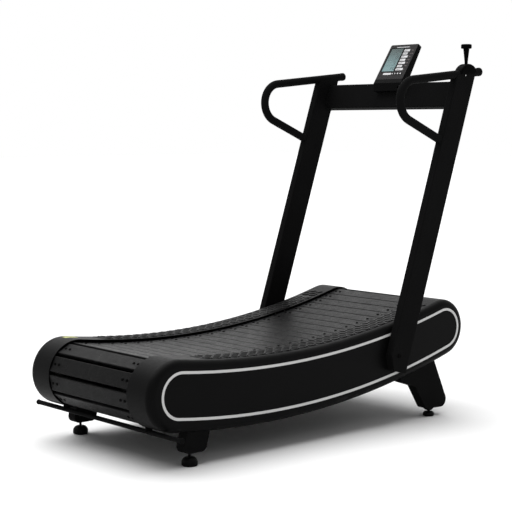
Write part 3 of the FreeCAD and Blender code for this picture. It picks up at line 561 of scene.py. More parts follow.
def plain_mesh(host: bpy.types.Object) -> bpy.types.Mesh:
    """The evaluated form of an object as a mesh of its own."""
    depsgraph = bpy.context.evaluated_depsgraph_get()
    return bpy.data.meshes.new_from_object(host.evaluated_get(depsgraph), depsgraph=depsgraph)


def mesh_of(build: Callable[[bmesh.types.BMesh], None]) -> bpy.types.Mesh:
    """A mesh filled by build."""
    bm = bmesh.new()
    build(bm)
    mesh = bpy.data.meshes.new("made")
    bm.to_mesh(mesh)
    bm.free()
    return mesh


def skin(bm: bmesh.types.BMesh, rings: Iterable[Sequence[Vector]], looped: bool = False) -> None:
    """Adds a closed skin over rings of equal length.

    Args:
        bm: The mesh that it is added to.
        rings: The rings, in order.
        looped: Whether the last ring joins the first. If not, a flat face closes each end.
    """
    rows = [[bm.verts.new(point) for point in ring] for ring in rings]
    if looped:
        rows.append(rows[0])
    else:
        bm.faces.new(list(reversed(rows[0])))
        bm.faces.new(rows[-1])
    for lower, upper in zip(rows, rows[1:]):
        for i in range(len(lower)):
            j = (i + 1) % len(lower)
            bm.faces.new((lower[i], lower[j], upper[j], upper[i]))


def rounded_outline(width: float, height: float, radius: float, steps: int = 4) -> list[Point2]:
    """A rounded rectangle about the origin, anticlockwise."""
    points = []
    for corner, (sx, sy) in enumerate(((1, 1), (-1, 1), (-1, -1), (1, -1))):
        cx, cy = sx * (width / 2 - radius), sy * (height / 2 - radius)
        for i in range(steps + 1):
            angle = math.pi / 2 * (corner + i / steps)
            points.append((cx + radius * math.cos(angle), cy + radius * math.sin(angle)))
    return points


def polygon_outline(count: int, radius: float, turn: float = 0.0) -> list[Point2]:
    """A regular polygon about the origin."""
    angles = [turn + 2 * math.pi * i / count for i in range(count)]
    return [(radius * math.cos(angle), radius * math.sin(angle)) for angle in angles]


def moved(outline: Iterable[Point2], across: float, along: float) -> list[Point2]:
    """An outline shifted on its plane."""
    return [(x + across, y + along) for x, y in outline]


@dataclass(frozen=True)
class FacePlane:
    """A flat face that small parts are laid on."""

    origin: Vector
    right: Vector
    up: Vector

    @property
    def out(self) -> Vector:
        """The direction away from the face."""
        return self.right.cross(self.up)

    @classmethod
    def of(cls, node: bpy.types.Object, right: Vector, up: Vector) -> "FacePlane":
        """The outermost face of a node, with its origin at the middle of the face.

        Args:
            node: The construction node.
            right: Unit vector across the face.
            up: Unit vector up the face.

        Returns:
            The plane.
        """
        out = right.cross(up)
        front = outermost(node, out, FACE_DEPTH)
        origin = out * max(p.dot(out) for p in front)
        for axis in (right, up):
            reaches = [p.dot(axis) for p in front]
            origin += axis * ((min(reaches) + max(reaches)) / 2)
        return cls(origin, right, up)

    def at(self, across: float, along: float, lift: float = 0.0) -> Vector:
        """A point on the face, or lifted off it."""
        return self.origin + self.right * across + self.up * along + self.out * lift

    def lay(self, bm: bmesh.types.BMesh, outline: Sequence[Point2], thick: float, sunk: float = 0.0) -> None:
        """Adds a flat plaque of that outline, its foot sunk below the face."""
        skin(bm, [self.ring(outline, lift) for lift in (-sunk, thick)])

    def ring(self, outline: Iterable[Point2], lift: float) -> list[Vector]:
        """An outline set on the face, or lifted off it."""
        return [self.at(x, y, lift) for x, y in outline]


def surface_of(node: bpy.types.Object) -> BVHTree:
    """A tree that finds points on a node's surface."""
    mesh = node.data
    return BVHTree.FromPolygons([v.co for v in mesh.vertices], [list(p.vertices) for p in mesh.polygons])


def outermost(node: bpy.types.Object, out: Vector, depth: float) -> list[Vector]:
    """A node's points that lie farthest out, to within a depth."""
    points = [v.co for v in node.data.vertices]
    farthest = max(p.dot(out) for p in points)
    return [p for p in points if p.dot(out) > farthest - depth]


def hull_ring(points: list[Vector], right: Vector, up: Vector) -> list[Vector]:
    """The outer ring of flat points, in order round it."""
    return [points[i] for i in convex_hull_2d([(p.dot(right), p.dot(up)) for p in points])]


# --- Geometry Nodes trees ------------------------------------------------------------------------
def bead_tree() -> NodeGroup:
    """A weld bead: overlapping flat drops along the host's edges."""
    group = NodeGroup("weld_bead", "GeometryNodeTree",
                      {"Path": (GEOMETRY,), "Pitch": (FLOAT, 0.0016), "Size": (VECTOR, (1.0, 1.0, 1.0)),
                       "Seed": (INTEGER, 0), "Material": (MATERIAL,)},
                      {"Bead": GEOMETRY})
    g, given = group.graph, group.given
    curve = g.add("GeometryNodeMeshToCurve", {"Mesh": given["Path"]})
    points = g.add("GeometryNodeCurveToPoints", {"Curve": curve, "Length": given["Pitch"]}, mode="LENGTH")
    drop = g.add("GeometryNodeMeshUVSphere", {"Segments": 8, "Rings": 5, "Radius": 1.0})
    low, high = 2, 3
    uneven = g.add("FunctionNodeRandomValue", {low: 0.85, high: 1.15, "Seed": given["Seed"]},
                   data_type="FLOAT")
    size = g.vector("SCALE", given["Size"])
    g.feed(size.inputs["Scale"], uneven.outputs[1])
    drops = {"Points": points, "Instance": drop, "Rotation": points.outputs["Rotation"], "Scale": size}
    return group.end("Bead", g.add("GeometryNodeInstanceOnPoints", drops))


def tread_tree() -> NodeGroup:
    """Chequered ribs on a rail: the host is one rib, set down in rows and turned to and fro by turns."""
    group = NodeGroup("rail_tread", "GeometryNodeTree",
                      {"Rib": (GEOMETRY,), "Rail": (OBJECT,), "Rows": (INTEGER, 10), "Columns": (INTEGER, 3),
                       "Pitch": (FLOAT, 0.03), "Slant": (FLOAT, 0.8), "Middle": (VECTOR, (0.0, 0.0, 1.0)),
                       "Material": (MATERIAL,)},
                      {"Tread": GEOMETRY})
    g, given = group.graph, group.given
    spans = [g.times(g.maths("SUBTRACT", given[count], 1), given["Pitch"])
             for count in ("Columns", "Rows")]
    grid = g.add("GeometryNodeMeshGrid", {"Size X": spans[0], "Size Y": spans[1],
                                          "Vertices X": given["Columns"], "Vertices Y": given["Rows"]})
    spot = g.add("GeometryNodeInputPosition")
    from_edge = [g.maths("ADD", g.axis(spot, name), g.maths("DIVIDE", span, 2.0))
                 for name, span in zip("XY", spans)]
    steps = [g.maths("ROUND", g.maths("DIVIDE", reach, given["Pitch"])) for reach in from_edge]
    odd = g.maths("MODULO", g.maths("ADD", *steps), 2.0)
    slant = g.times(g.maths("SUBTRACT", g.times(odd, 2.0), 1.0), given["Slant"])
    marked = g.add("GeometryNodeCaptureAttribute", {"Geometry": grid})
    marked.capture_items.new("FLOAT", "Slant")
    g.feed(marked.inputs["Slant"], slant)
    lifted = g.add("GeometryNodeSetPosition", {"Geometry": marked, "Offset": given["Middle"]})
    rail = g.add("GeometryNodeObjectInfo", {"Object": given["Rail"]}).outputs["Geometry"]
    found = g.add("GeometryNodeRaycast",
                  {"Target Geometry": rail, "Ray Direction": (0.0, 0.0, -1.0), "Ray Length": 2.0})
    normal = g.add("GeometryNodeCaptureAttribute", {"Geometry": lifted})
    normal.capture_items.new("VECTOR", "Normal")
    g.feed(normal.inputs["Normal"], found.outputs["Hit Normal"])
    missed = g.add("FunctionNodeBooleanMath", {0: found.outputs["Is Hit"]}, operation="NOT")
    kept = g.add("GeometryNodeDeleteGeometry", {"Geometry": normal, "Selection": missed})
    down = g.add("GeometryNodeSetPosition", {"Geometry": kept, "Position": found.outputs["Hit Position"]})
    upright = g.add("FunctionNodeAlignRotationToVector", {"Vector": normal.outputs["Normal"]}, axis="Z",
                    pivot_axis="X")
    slanted = g.add("FunctionNodeAxisAngleToRotation",
                    {"Axis": (0.0, 0.0, 1.0), "Angle": marked.outputs["Slant"]})
    turn = g.add("FunctionNodeRotateRotation", {"Rotation": upright, "Rotate By": slanted},
                 rotation_space="LOCAL")
    ribs = {"Points": down, "Instance": given["Rib"], "Rotation": turn}
    return group.end("Tread", g.add("GeometryNodeInstanceOnPoints", ribs))


def thread_tree() -> NodeGroup:
    """A screw thread: a thin ridge wound round an upright stud. The host is an empty seat."""
    group = NodeGroup("stud_thread", "GeometryNodeTree",
                      {"Seat": (GEOMETRY,), "Turns": (FLOAT, 8.0), "Radius": (FLOAT, 0.005),
                       "Height": (FLOAT, 0.01), "Ridge": (FLOAT, 0.0003), "Foot": (VECTOR, (0.0, 0.0, 0.0)),
                       "Material": (MATERIAL,)},
                      {"Thread": GEOMETRY})
    g, given = group.graph, group.given
    line = g.add("GeometryNodeCurveSpiral",
                 {"Resolution": 20, "Rotations": given["Turns"], "Start Radius": given["Radius"],
                  "End Radius": given["Radius"], "Height": given["Height"]})
    ridge = g.add("GeometryNodeCurvePrimitiveCircle", {"Resolution": 4, "Radius": given["Ridge"]})
    wound = g.add("GeometryNodeCurveToMesh", {"Curve": line, "Profile Curve": ridge, "Fill Caps": True})
    seated = {"Geometry": wound, "Offset": given["Foot"]}
    return group.end("Thread", g.add("GeometryNodeSetPosition", seated))


# --- sub-assemblies ------------------------------------------------------------------------------
@dataclass
class SubAssembly:
    """A part of the machine that dresses its nodes and builds its own pieces."""

    shop: Workshop

    @property
    def finishes(self) -> Finishes:
        """The machine's finishes."""
        return self.shop.finishes

    def dress(self) -> None:
        """Gives the sub-assembly's construction nodes their finishes."""

    def build(self) -> None:
        """Makes the pieces that the construction model doesn't hold."""


@dataclass
class Casings(SubAssembly):
    """The two side casings with their trim lines, and a plain tag on the left one."""

    tag_size: Point2 = (0.034, 0.058)
    tag_place: Point2 = (0.060, 0.152)
    tag_lifts: Point2 = (-0.0005, 0.0003)
    tag_pull: float = 0.0012
    tag_squareness: int = 6
    columns: int = 8
    rows: int = 14

    def dress(self) -> None:
        """Satin casings and light trim lines."""
        self.shop.paint(self.finishes.casing, "side_cover_")
        self.shop.paint(self.finishes.stripe, "cover_stripe_")

    def build(self) -> None:
        """The tag, laid on the rounded rear of the left casing."""
        low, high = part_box("side_cover_left")
        surface = surface_of(self.shop.nodes["side_cover_left"])
        centre = Vector((low.x + self.tag_place[0], low.y + self.tag_place[1], high.z + ABOVE))
        hits = [surface.ray_cast(centre + self.spot(i, j), -UPRIGHT)
                for i in range(self.columns + 1) for j in range(self.rows + 1)]

        def build(bm: bmesh.types.BMesh) -> None:
            sheets = [[bm.verts.new(hit + normal * lift) for hit, normal, _, _ in hits]
                      for lift in self.tag_lifts]
            self.close(bm, *sheets)
        self.shop.piece("rail_tag", mesh_of(build), self.finishes.tag, Slot.STRIPE)

    def spot(self, i: int, j: int) -> Vector:
        """A point of the tag's grid about its middle, with the corners drawn in."""
        u, v = i / self.columns * 2 - 1, j / self.rows * 2 - 1
        pull = self.tag_pull * (abs(u) * abs(v)) ** self.tag_squareness
        return Vector((u * (self.tag_size[0] / 2 - pull), v * (self.tag_size[1] / 2 - pull), 0))

    def close(self, bm: bmesh.types.BMesh, under: list, over: list) -> None:
        """Joins two grids of points into one closed thin sheet."""
        def at(i: int, j: int) -> int:
            return i * (self.rows + 1) + j
        for i in range(self.columns):
            for j in range(self.rows):
                cell = [at(i, j), at(i + 1, j), at(i + 1, j + 1), at(i, j + 1)]
                bm.faces.new([over[k] for k in cell])
                bm.faces.new([under[k] for k in reversed(cell)])
        ahead, back = range(self.columns), range(self.columns, 0, -1)
        rim = [at(i, 0) for i in ahead] + [at(self.columns, j) for j in range(self.rows)]
        rim += [at(i, self.rows) for i in back] + [at(0, j) for j in range(self.rows, 0, -1)]
        for k, m in zip(rim, rim[1:] + rim[:1]):
            bm.faces.new((under[k], under[m], over[m], over[k]))


@dataclass
class FootRails(SubAssembly):
    """The rubber foot rails, and the chequered ribs on them and on the casings ahead of them."""

    rib_length: float = 0.0235
    rib_width: float = 0.0080
    rib_height: float = 0.0027
    rib_profile: tuple[Point2, ...] = ((0.0, -0.2), (0.0, 0.55), (0.0006, 0.85), (0.0016, 1.0))
    rib_gap: float = 0.00001
    columns: int = 4
    slant: float = math.radians(42)
    end_margin: float = 0.008
    run_on: float = 0.085

    def dress(self) -> None:
        """Dull rubber."""
        self.shop.paint(self.finishes.tread, "grip_pad_")

    def rib(self, bm: bmesh.types.BMesh) -> None:
        """One rib: a stadium with a drawn-in top, about the origin."""
        rings = []
        for inset, share in self.rib_profile:
            length, width = self.rib_length - 2 * inset, self.rib_width - 2 * inset
            ring = rounded_outline(length, width, width / 2 - self.rib_gap, 3)
            rings.append([Vector((x, y, share * self.rib_height)) for x, y in ring])
        skin(bm, rings)

    def build(self) -> None:
        """The ribs of both rails, and of the casings just ahead of them."""
        tree = tread_tree()
        for side in SIDES:
            rail, casing = "grip_pad_" + side, "side_cover_" + side
            low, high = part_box(rail)
            start, end = Vector((low.x, high.y, low.z)), high + AHEAD * self.run_on
            self.ribs("rail_ribs_" + side, tree, self.layout(rail, low, high), self.finishes.tread,
                      Slot.FOOT_RAIL)
            self.ribs("casing_ribs_" + side, tree, self.layout(casing, start, end), self.finishes.casing,
                      Slot.CASING)

    def ribs(self, name: str, tree: NodeGroup, values: dict[str, object], finish: Finish,
             slot: Slot) -> None:
        """One ribbed strip."""
        self.shop.piece(name, self.shop.grown(mesh_of(self.rib), tree, finish, values), finish, slot)

    def layout(self, host: str, low: Vector, high: Vector) -> dict[str, object]:
        """Where the ribs lie on a node.

        Args:
            host: The node that they are laid on.
            low: One corner of the ribbed strip.
            high: The other corner.

        Returns:
            The values of the tread tree's inputs.
        """
        pitch = (high.x - low.x) / self.columns
        rows = max(2, round((high.y - low.y - 2 * self.end_margin) / pitch))
        middle = Vector(((low.x + high.x) / 2, (low.y + high.y) / 2, high.z + ABOVE))
        return {"Rail": self.shop.nodes[host], "Rows": rows, "Columns": self.columns, "Pitch": pitch,
                "Slant": self.slant, "Middle": middle}


@dataclass
class RunningBelt(SubAssembly):
    """The slats, their screws and the carrier belts under them."""

    def dress(self) -> None:
        """Grained rubber slats, black screws, plain belts."""
        self.shop.paint(self.finishes.slat, "slats_top_run", "slats_front_turn", "slats_return_run",
                        "slats_rear_turn")
        self.shop.paint(self.finishes.screw, "slat_screws")
        self.shop.paint(self.finishes.belt, "carrier_belt_")


@dataclass
class Rollers(SubAssembly):
    """Shafts, pulleys, bearings, support rollers and the magnetic brake."""

    def dress(self) -> None:
        """Turned shafts, cast wheels, nylon rollers; the pulleys are black as painted shade."""
        paint, finishes = self.shop.paint, self.finishes
        paint(finishes.turned, "axle_bearings")
        paint(finishes.shaft, "rear_axle", "front_axle")
        paint(finishes.alloy, "brake_disc")
        # Painted shade: the pulleys are made black so the gaps between the slats read dark.
        paint(finishes.cast, "rear_pulleys", "front_pulleys")
        paint(finishes.nylon, "support_rollers")
        paint(finishes.zinc, "roller_studs", "caliper_pin")
        paint(finishes.paint, "magnet_caliper")


@dataclass
class MainFrame(SubAssembly):
    """Side plates, cross tubes, uprights, crossbar and handles, with the weld beads between them."""

    bead_pitch: float = 0.0019
    bead_size: tuple[float, float, float] = (0.0026, 0.0026, 0.0017)
    bead_seed: int = 3
    lean: float = math.radians(18.65)

    def dress(self) -> None:
        """Powder coat, with plastic ends, zinc spacers and black bolts."""
        paint, finishes = self.shop.paint, self.finishes
        paint(finishes.paint, "side_plate_", "upright_", "handle_", "cross_tubes", "crossbar")
        paint(finishes.plastic, "handle_caps")
        paint(finishes.zinc, "upright_spacers")
        paint(finishes.screw, "upright_bolts")

    def build(self) -> None:
        """The beads where the crossbar and the handles' lower ends meet the uprights."""
        tree = bead_tree()
        nodes = self.shop.nodes
        back = Vector((0, -math.cos(self.lean), math.sin(self.lean)))
        for side, sign in SIDES.items():
            self.bead(tree, "crossbar_weld_" + side, self.end_ring(nodes["crossbar"], sign * ACROSS))
            self.bead(tree, "handle_weld_" + side, self.tail_ring(nodes["handle_" + side], back))

    @staticmethod
    def end_ring(node: bpy.types.Object, out: Vector) -> list[Vector]:
        """The outer edge of a node's flat end that faces out."""
        right = out.orthogonal().normalized()
        return hull_ring(outermost(node, out, END_DEPTH), right, out.cross(right))

    @staticmethod
    def tail_ring(handle: bpy.types.Object, back: Vector) -> list[Vector]:
        """The outer edge of the handle's lower end, which is cut along the upright's back.

        Args:
            handle: The handle's node.
            back: Unit vector out of the upright's back.

        Returns:
            The ring's points.
        """
        low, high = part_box(handle.name)
        lower = [v.co for v in handle.data.vertices if v.co.z < (low.z + high.z) / 2]
        deepest = min(p.dot(back) for p in lower)
        flat = [p for p in lower if p.dot(back) < deepest + CUT_DEPTH]
        return hull_ring(flat, ACROSS, ACROSS.cross(back))

    def bead(self, tree: NodeGroup, name: str, ring: list[Vector]) -> None:
        """One closed weld bead along a ring."""
        def build(bm: bmesh.types.BMesh) -> None:
            points = [bm.verts.new(p) for p in ring]
            for a, b in zip(points, points[1:] + points[:1]):
                bm.edges.new((a, b))
        paint = self.finishes.paint
        values = {"Pitch": self.bead_pitch, "Size": self.bead_size, "Seed": self.bead_seed}
        self.shop.piece(name, self.shop.grown(mesh_of(build), tree, paint, values), paint, Slot.PAINT)


@dataclass
class Console(SubAssembly):
    """The small console: display with figures, printed legends, keys and a socket."""

    tilt: float = math.radians(34.0)
    print_thick: float = 0.00015
    print_sunk: float = 0.0002
    key_sunk: float = 0.0004
    digit: Point2 = (0.0085, 0.0150)
    digit_pitch: float = 0.0118
    last_digit: float = 0.030
    dot: Point2 = (0.0018, 0.0009)
    dot_corner: float = 0.0004
    dot_back: float = 0.52
    rule: Point2 = (0.066, 0.0007)
    rule_corner: float = 0.0002
    readings: tuple[str, ...] = ("12.40", "1.86", "9.1", "148")
    row_pitch: float = 0.0305
    stroke: float = 0.0016
    stroke_gap: float = 0.2
    bezel_grow: Point2 = (0.001, -0.006)
    bezel_radius: float = 0.0012
    bezel_profile: tuple[Point2, ...] = (
        (0.0, -0.0012), (0.0, 0.0006), (0.0006, 0.0009), (0.0022, 0.0009), (0.0030, -0.0002))
    bar_lengths: tuple[float, ...] = (0.033, 0.027, 0.036, 0.031, 0.038, 0.029, 0.042)
    bar_height: float = 0.0115
    bar_corner: float = 0.0015
    bar_pitch: float = 0.0170
    bars_place: Point2 = (0.0130, 0.0620)
    words: tuple[str, ...] = ("TIME", "SPEED", "DIST", "CAL", "PULSE", "PACE", "TARGET")
    word_start: Point2 = (0.0160, -0.0024)
    word_size: float = 0.0068
    unit_words: tuple[str, ...] = ("min", "km/h", "km", "kcal", "bpm", "/km", "set")
    unit_start: Point2 = (0.0570, -0.0029)
    unit_size: float = 0.0085
    strips: tuple[tuple[Point2, Point2], ...] = (((0.075, 0.0030), (-0.0025, 0.0810)),
                                                 ((0.047, 0.0100), (-0.0265, -0.0635)))
    strip_corner: float = 0.0010
    arrow: float = 0.0044
    spot: float = 0.0036
    square: Point2 = (0.0064, 0.0064)
    square_corner: float = 0.0008
    socket_at: Point2 = (0.062, 1.404)
    beside_socket: float = 0.0065
    ring_steps: int = 32
    ring_profile: tuple[Point2, ...] = (
        (0.0040, -0.001), (0.0040, 0.0004), (0.0045, 0.0008), (0.0056, 0.0008), (0.0062, -0.0004))

    SEGMENTS = {"0": "abcdef", "1": "bc", "2": "abged", "3": "abgcd", "4": "fgbc", "5": "afgcd",
                "6": "afgedc", "7": "abc", "8": "abcdefg", "9": "abcdfg"}

    def dress(self) -> None:
        """Grained housing, smooth face film, display and keys."""
        paint, finishes = self.shop.paint, self.finishes
        paint(finishes.plastic, "console_housing")
        paint(finishes.face, "console_face")
        paint(finishes.display, "lcd_window")
        paint(finishes.key, *[f"console_button_{i}" for i in range(1, 5)])
        paint(finishes.paint, "console_bracket")

    def plane(self, node: str) -> FacePlane:
        """The front of one of the console's nodes."""
        up = Vector((0, math.sin(self.tilt), math.cos(self.tilt)))
        return FacePlane.of(self.shop.nodes[node], ACROSS, up)

    def build(self) -> None:
        """Figures, legends, key symbols and the socket's ring."""
        finishes = self.finishes
        for name, fill, finish, slot in (
                ("display_figures", self.figures, finishes.segment, Slot.LCD),
                ("display_frame", self.bezel, finishes.plastic, Slot.PLASTIC),
                ("face_bars", self.bars, finishes.legend, Slot.STRIPE),
                ("face_names", self.names, finishes.face, Slot.STRIPE),
                ("face_units", self.units, finishes.faded, Slot.STRIPE)):
            self.shop.piece(name, mesh_of(fill), finish, slot)
        for i, outline in enumerate(self.symbols(), start=1):
            plane = self.plane(f"console_button_{i}")
            mesh = mesh_of(lambda bm, o=outline, p=plane: p.lay(bm, o, self.print_thick, self.key_sunk))
            self.shop.piece(f"key_symbol_{i}", mesh, finishes.legend, Slot.STRIPE, f"button_{i}")
        self.shop.piece("socket_ring", mesh_of(self.socket_ring), finishes.plastic, Slot.PLASTIC)

    def figures(self, bm: bmesh.types.BMesh) -> None:
        """Seven-segment readings, one under another, with a rule under each."""
        plane = self.plane("lcd_window")
        side, rise = self.dot

        def put(outline: Iterable[Point2], across: float, along: float) -> None:
            plane.lay(bm, moved(outline, across, along), self.print_thick, self.print_sunk)
        for row, text in enumerate(self.readings):
            along = ((len(self.readings) - 1) / 2 - row) * self.row_pitch
            across = self.last_digit - self.digit_pitch * (len(text.replace(".", "")) - 1)
            for mark in text:
                if mark == ".":
                    put(rounded_outline(side, side, self.dot_corner, 1),
                        across - self.digit_pitch * self.dot_back, along - self.digit[1] / 2 + rise)
                    continue
                for segment in self.SEGMENTS[mark]:
                    put(self.segment(segment), across, along)
                across += self.digit_pitch
            put(rounded_outline(*self.rule, self.rule_corner, 1), 0.0, along - self.row_pitch / 2)

    def segment(self, name: str) -> list[Point2]:
        """The outline of one stroke of a figure, a pointed bar."""
        width, height = self.digit
        half = height / 2
        flat = {"a": (0, half), "g": (0, 0), "d": (0, -half)}
        tall = {"f": (-width / 2, half / 2), "b": (width / 2, half / 2),
                "e": (-width / 2, -half / 2), "c": (width / 2, -half / 2)}
        reach = (width if name in flat else half) / 2 - self.stroke * self.stroke_gap
        thick = self.stroke / 2
        bar = [(-reach, 0), (-reach + thick, -thick), (reach - thick, -thick), (reach, 0),
               (reach - thick, thick), (-reach + thick, thick)]
        if name in tall:
            bar = [(-y, x) for x, y in bar]
        return moved(bar, *(flat | tall)[name])

    def bezel(self, bm: bmesh.types.BMesh) -> None:
        """A thin raised frame round the display."""
        plane, lcd = self.plane("console_face"), self.plane("lcd_window")
        low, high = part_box("lcd_window")
        width = high.x - low.x + self.bezel_grow[0]
        height = (high.z - low.z) / math.cos(self.tilt) + self.bezel_grow[1]
        apart = lcd.origin - plane.origin
        rings = []
        for grow, lift in self.bezel_profile:
            outline = rounded_outline(width + 2 * grow, height + 2 * grow, self.bezel_radius + grow, 4)
            rings.append(plane.ring(moved(outline, apart.dot(plane.right), apart.dot(plane.up)), lift))
        skin(bm, rings, looped=True)

    def bars(self, bm: bmesh.types.BMesh) -> None:
        """White printed bars: a column beside the display, a strip over it and one left of the keys."""
        plane = self.plane("console_face")
        for row, length in enumerate(self.bar_lengths):
            outline = rounded_outline(length, self.bar_height, self.bar_corner, 2)
            place = self.bars_place[0] + length / 2, self.bar_along(row)
            plane.lay(bm, moved(outline, *place), self.print_thick)
        for size, place in self.strips:
            plane.lay(bm, moved(rounded_outline(*size, self.strip_corner, 2), *place), self.print_thick)

    def bar_along(self, row: int) -> float:
        """How far up the face a row's bar lies."""
        return self.bars_place[1] - row * self.bar_pitch

    def names(self, bm: bmesh.types.BMesh) -> None:
        """Dark words on the white bars."""
        self.write(bm, self.words, self.word_start, self.word_size)

    def units(self, bm: bmesh.types.BMesh) -> None:
        """Faint words right of the bars."""
        self.write(bm, self.unit_words, self.unit_start, self.unit_size)

    def write(self, bm: bmesh.types.BMesh, words: Sequence[str], start: Point2, size: float) -> None:
        """Adds a column of printed words, one to a row of bars.

        Args:
            bm: The mesh that they are added to.
            words: The words.
            start: Where a word starts: across the face, and up from the middle of its bar.
            size: The size of the lettering.
        """
        plane = self.plane("console_face")
        for row, word in enumerate(words):
            curve = bpy.data.curves.new("words", "FONT")
            curve.body = word
            curve.size = size
            curve.resolution_u = 2
            curve.extrude = self.print_thick
            host = placed("words", curve)
            mesh = plain_mesh(host)
            bpy.data.objects.remove(host)
            foot = self.bar_along(row) + start[1]
            for vertex in mesh.vertices:
                x, y, lift = vertex.co
                vertex.co = plane.at(start[0] + x, foot + y, self.print_thick + lift)
            bm.from_mesh(mesh)

    def symbols(self) -> list[list[Point2]]:
        """The keys' symbols: up, down, a round dot and a square."""
        up, down = (polygon_outline(3, self.arrow, turn) for turn in (math.pi / 2, -math.pi / 2))
        square = rounded_outline(*self.square, self.square_corner, 2)
        return [up, down, polygon_outline(16, self.spot), square]

    def socket_ring(self, bm: bmesh.types.BMesh) -> None:
        """A pressed ring round the socket in the console's foot."""
        x, z = self.socket_at
        surface = surface_of(self.shop.nodes["console_housing"])
        hit, normal, _, _ = surface.ray_cast(Vector((x + self.beside_socket, 0.5, z)), AHEAD)
        plane = FacePlane(Vector((x, hit.y, z)), ACROSS, normal.cross(ACROSS))
        rings = [plane.ring(polygon_outline(self.ring_steps, radius), lift)
                 for radius, lift in self.ring_profile]
        skin(bm, rings, looped=True)


@dataclass
class BrakeLever(SubAssembly):
    """The resistance lever, its domed housing, and a clamp screw in the right upright."""

    screw_radius: float = 0.0036
    screw_height: float = 0.0022
    screw_profile: tuple[Point2, ...] = ((1.0, -0.3), (1.0, 0.2), (0.92, 0.7), (0.75, 0.95), (0.55, 1.0))
    screw_steps: int = 24
    socket_flat: float = 0.42
    socket_lifts: Point2 = (1.0, 0.25)
    screw_share: Point2 = (0.30, 0.40)
    screw_drop: float = 0.022

    def dress(self) -> None:
        """Plastic housing, knob and arm on a zinc pin."""
        self.shop.paint(self.finishes.lever, "lever_housing", "lever_knob", "lever_arm")
        self.shop.paint(self.finishes.zinc, "lever_pin")

    def build(self) -> None:
        """The clamp screw in the upright's outer side, under the housing."""
        low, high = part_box("lever_housing")
        y = low.y + (high.y - low.y) * self.screw_share[0]
        z = low.z + (high.z - low.z) * self.screw_share[1] - self.screw_drop
        surface = surface_of(self.shop.nodes["upright_right"])
        face = surface.ray_cast(Vector((high.x + ABOVE, y, z)), -ACROSS)[0]
        mesh = mesh_of(lambda bm: self.screw(bm, FacePlane(face, AHEAD, UPRIGHT)))
        self.shop.piece("clamp_screw", mesh, self.finishes.zinc, Slot.ZINC)

    def screw(self, bm: bmesh.types.BMesh, plane: FacePlane) -> None:
        """A button head with a hexagon socket.

        Args:
            bm: The mesh that it is added to.
            plane: The face that it sits on.
        """
        steps, radius, height = self.screw_steps, self.screw_radius, self.screw_height
        rings = [plane.ring(polygon_outline(steps, radius * share), lift * height)
                 for share, lift in self.screw_profile]
        angles = [2 * math.pi * i / steps for i in range(steps)]
        hexagon = [self.hexagon_point(angle, radius * self.socket_flat) for angle in angles]
        skin(bm, rings + [plane.ring(hexagon, lift * height) for lift in self.socket_lifts])

    @staticmethod
    def hexagon_point(angle: float, flat: float) -> Point2:
        """A point at that angle on a hexagon whose flats are that far from its middle."""
        sixth = math.pi / 3
        reach = flat / math.cos((angle + sixth / 2) % sixth - sixth / 2)
        return reach * math.cos(angle), reach * math.sin(angle)


@dataclass
class Undercarriage(SubAssembly):
    """Legs, levelling feet with their threads, transport wheels and the lift bar."""

    thread_pitch: float = 0.00175
    ridge: float = 0.00022

    def dress(self) -> None:
        """Painted legs on rubber feet and wheels."""
        paint, finishes = self.shop.paint, self.finishes
        paint(finishes.paint, "rear_leg_", "front_leg_", "lift_bar")
        paint(finishes.plastic, "lift_bar_caps")
        paint(finishes.foot, "foot_rear_", "foot_front_", "transport_wheel_")
        paint(finishes.zinc, "wheel_pins")
        paint(finishes.screw, "foot_lock_nuts")

    def build(self) -> None:
        """The thread that shows on each foot's stud."""
        tree = thread_tree()
        screw = self.finishes.screw
        for side in SIDES:
            for place in ("rear", "front"):
                values = self.thread(f"foot_{place}_{side}")
                mesh = self.shop.grown(bpy.data.meshes.new("seat"), tree, screw, values)
                self.shop.piece(f"foot_thread_{place}_{side}", mesh, screw, Slot.FOOT,
                                f"foot_{place}_{side}")

    def thread(self, foot: str) -> dict[str, object]:
        """The values of the thread tree's inputs on one foot.

        Args:
            foot: The foot's node.

        Returns:
            The value of each input, by its name.
        """
        low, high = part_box(foot)
        centre = (low + high) / 2
        points = [(v.co.z, (v.co - centre).to_2d().length) for v in self.shop.nodes[foot].data.vertices]
        stud = min(reach for z, reach in points if z > high.z - MM and reach > MM)
        dome = max(z for z, reach in points if reach > stud + MM)
        height = high.z - dome - 2 * MM
        return {"Turns": height / self.thread_pitch, "Radius": stud, "Height": height, "Ridge": self.ridge,
                "Foot": Vector((centre.x, centre.y, dome + MM))}


# --- studio --------------------------------------------------------------------------------------
@dataclass(frozen=True)
class Lamp:
    """A soft lamp far away: where it shines from, its strength and how wide it looks."""

    name: str
    shines_from: tuple[float, float, float]
    strength: float
    spread: float

    def build(self) -> None:
        """Adds the lamp to the scene."""
        data = bpy.data.lights.new(self.name, "SUN")
        data.energy = self.strength
        data.angle = self.spread
        made = placed(self.name, data)
        made.rotation_mode = "QUATERNION"
        made.rotation_quaternion = Vector(self.shines_from).to_track_quat("Z", "Y")


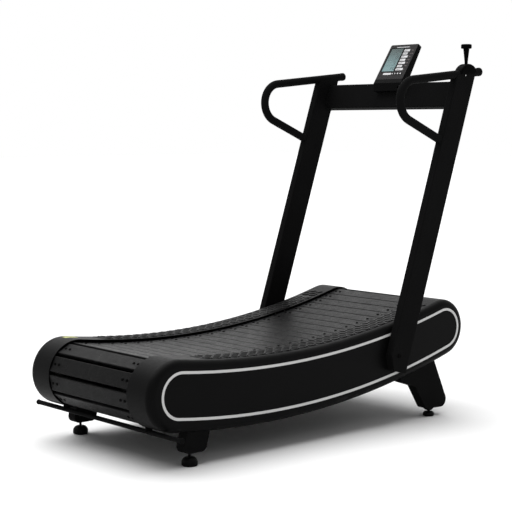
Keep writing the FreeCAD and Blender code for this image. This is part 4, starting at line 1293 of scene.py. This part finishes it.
@dataclass
class Studio:
    """A plain pale floor, soft light from overhead and the camera."""

    camera_at: Vector = field(default_factory=lambda: Vector((4.20461, -3.75682, 1.23911)))
    azimuth: float = math.radians(48.48)
    downward: float = math.radians(5.44)
    lens: float = 96.70
    floor_half: float = 40.0
    floor_tone: float = 0.90
    ambient: float = 0.34
    lamps: tuple[Lamp, ...] = (
        Lamp("overhead", (-0.26, -0.06, 1.0), 3.3, math.radians(72)),
        Lamp("front_left", (-0.62, 0.52, 0.70), 0.30, math.radians(50)),
    )

    def build(self) -> None:
        """Floor, light and camera."""
        self.floor()
        for lamp in self.lamps:
            lamp.build()
        self.world()
        self.camera()
        bpy.context.scene.view_settings.view_transform = "Standard"

    def floor(self) -> None:
        """A matt white floor that keeps the machine's shadow."""
        def build(bm: bmesh.types.BMesh) -> None:
            reach = self.floor_half
            bm.faces.new([bm.verts.new((x, y, 0.0)) for x, y in
                          ((-reach, -reach), (reach, -reach), (reach, reach), (-reach, reach))])
        material = bpy.data.materials.new("floor_white")
        material.use_nodes = True
        g = Graph(material.node_tree)
        tone = (self.floor_tone,) * 3 + (1.0,)
        shader = g.add("ShaderNodeBsdfDiffuse", {"Color": tone, "Roughness": 0.0})
        g.feed(g.add("ShaderNodeOutputMaterial").inputs["Surface"], shader)
        mesh = mesh_of(build)
        mesh.materials.append(material)
        placed("floor", mesh)

    def world(self) -> None:
        """White where it is seen or mirrored, and dimmer as a lamp."""
        world = bpy.data.worlds.new("studio")
        world.use_nodes = True
        bpy.context.scene.world = world
        g = Graph(world.node_tree)
        path = g.add("ShaderNodeLightPath").outputs
        seen = g.maths("MAXIMUM", g.maths("MAXIMUM", path["Is Camera Ray"], path["Is Glossy Ray"]),
                       path["Is Transmission Ray"])
        strength = g.ramp(seen, 0.0, 1.0, self.ambient, 1.0)
        light = g.add("ShaderNodeBackground", {"Color": (1.0, 1.0, 1.0, 1.0), "Strength": strength})
        g.feed(g.add("ShaderNodeOutputWorld").inputs["Surface"], light)

    def camera(self) -> None:
        """A long lens, level and a little above the machine."""
        data = bpy.data.cameras.new("camera")
        data.lens = self.lens
        data.sensor_width = 36.0
        made = placed("camera", data)
        made.location = self.camera_at
        made.rotation_euler = (math.pi / 2 - self.downward, 0.0, self.azimuth)
        bpy.context.scene.camera = made


def main() -> None:
    """Builds the machine's looks in order."""
    logging.basicConfig(level=logging.INFO, format="%(name)s: %(message)s")
    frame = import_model()
    Studio().build()
    shop = Workshop(frame["nodes"])
    for kind in (Casings, FootRails, RunningBelt, Rollers, MainFrame, Console, BrakeLever, Undercarriage):
        part = kind(shop)
        part.dress()
        part.build()
        LOG.info("%s done", kind.__name__)


if __name__ == "__main__":
    main()
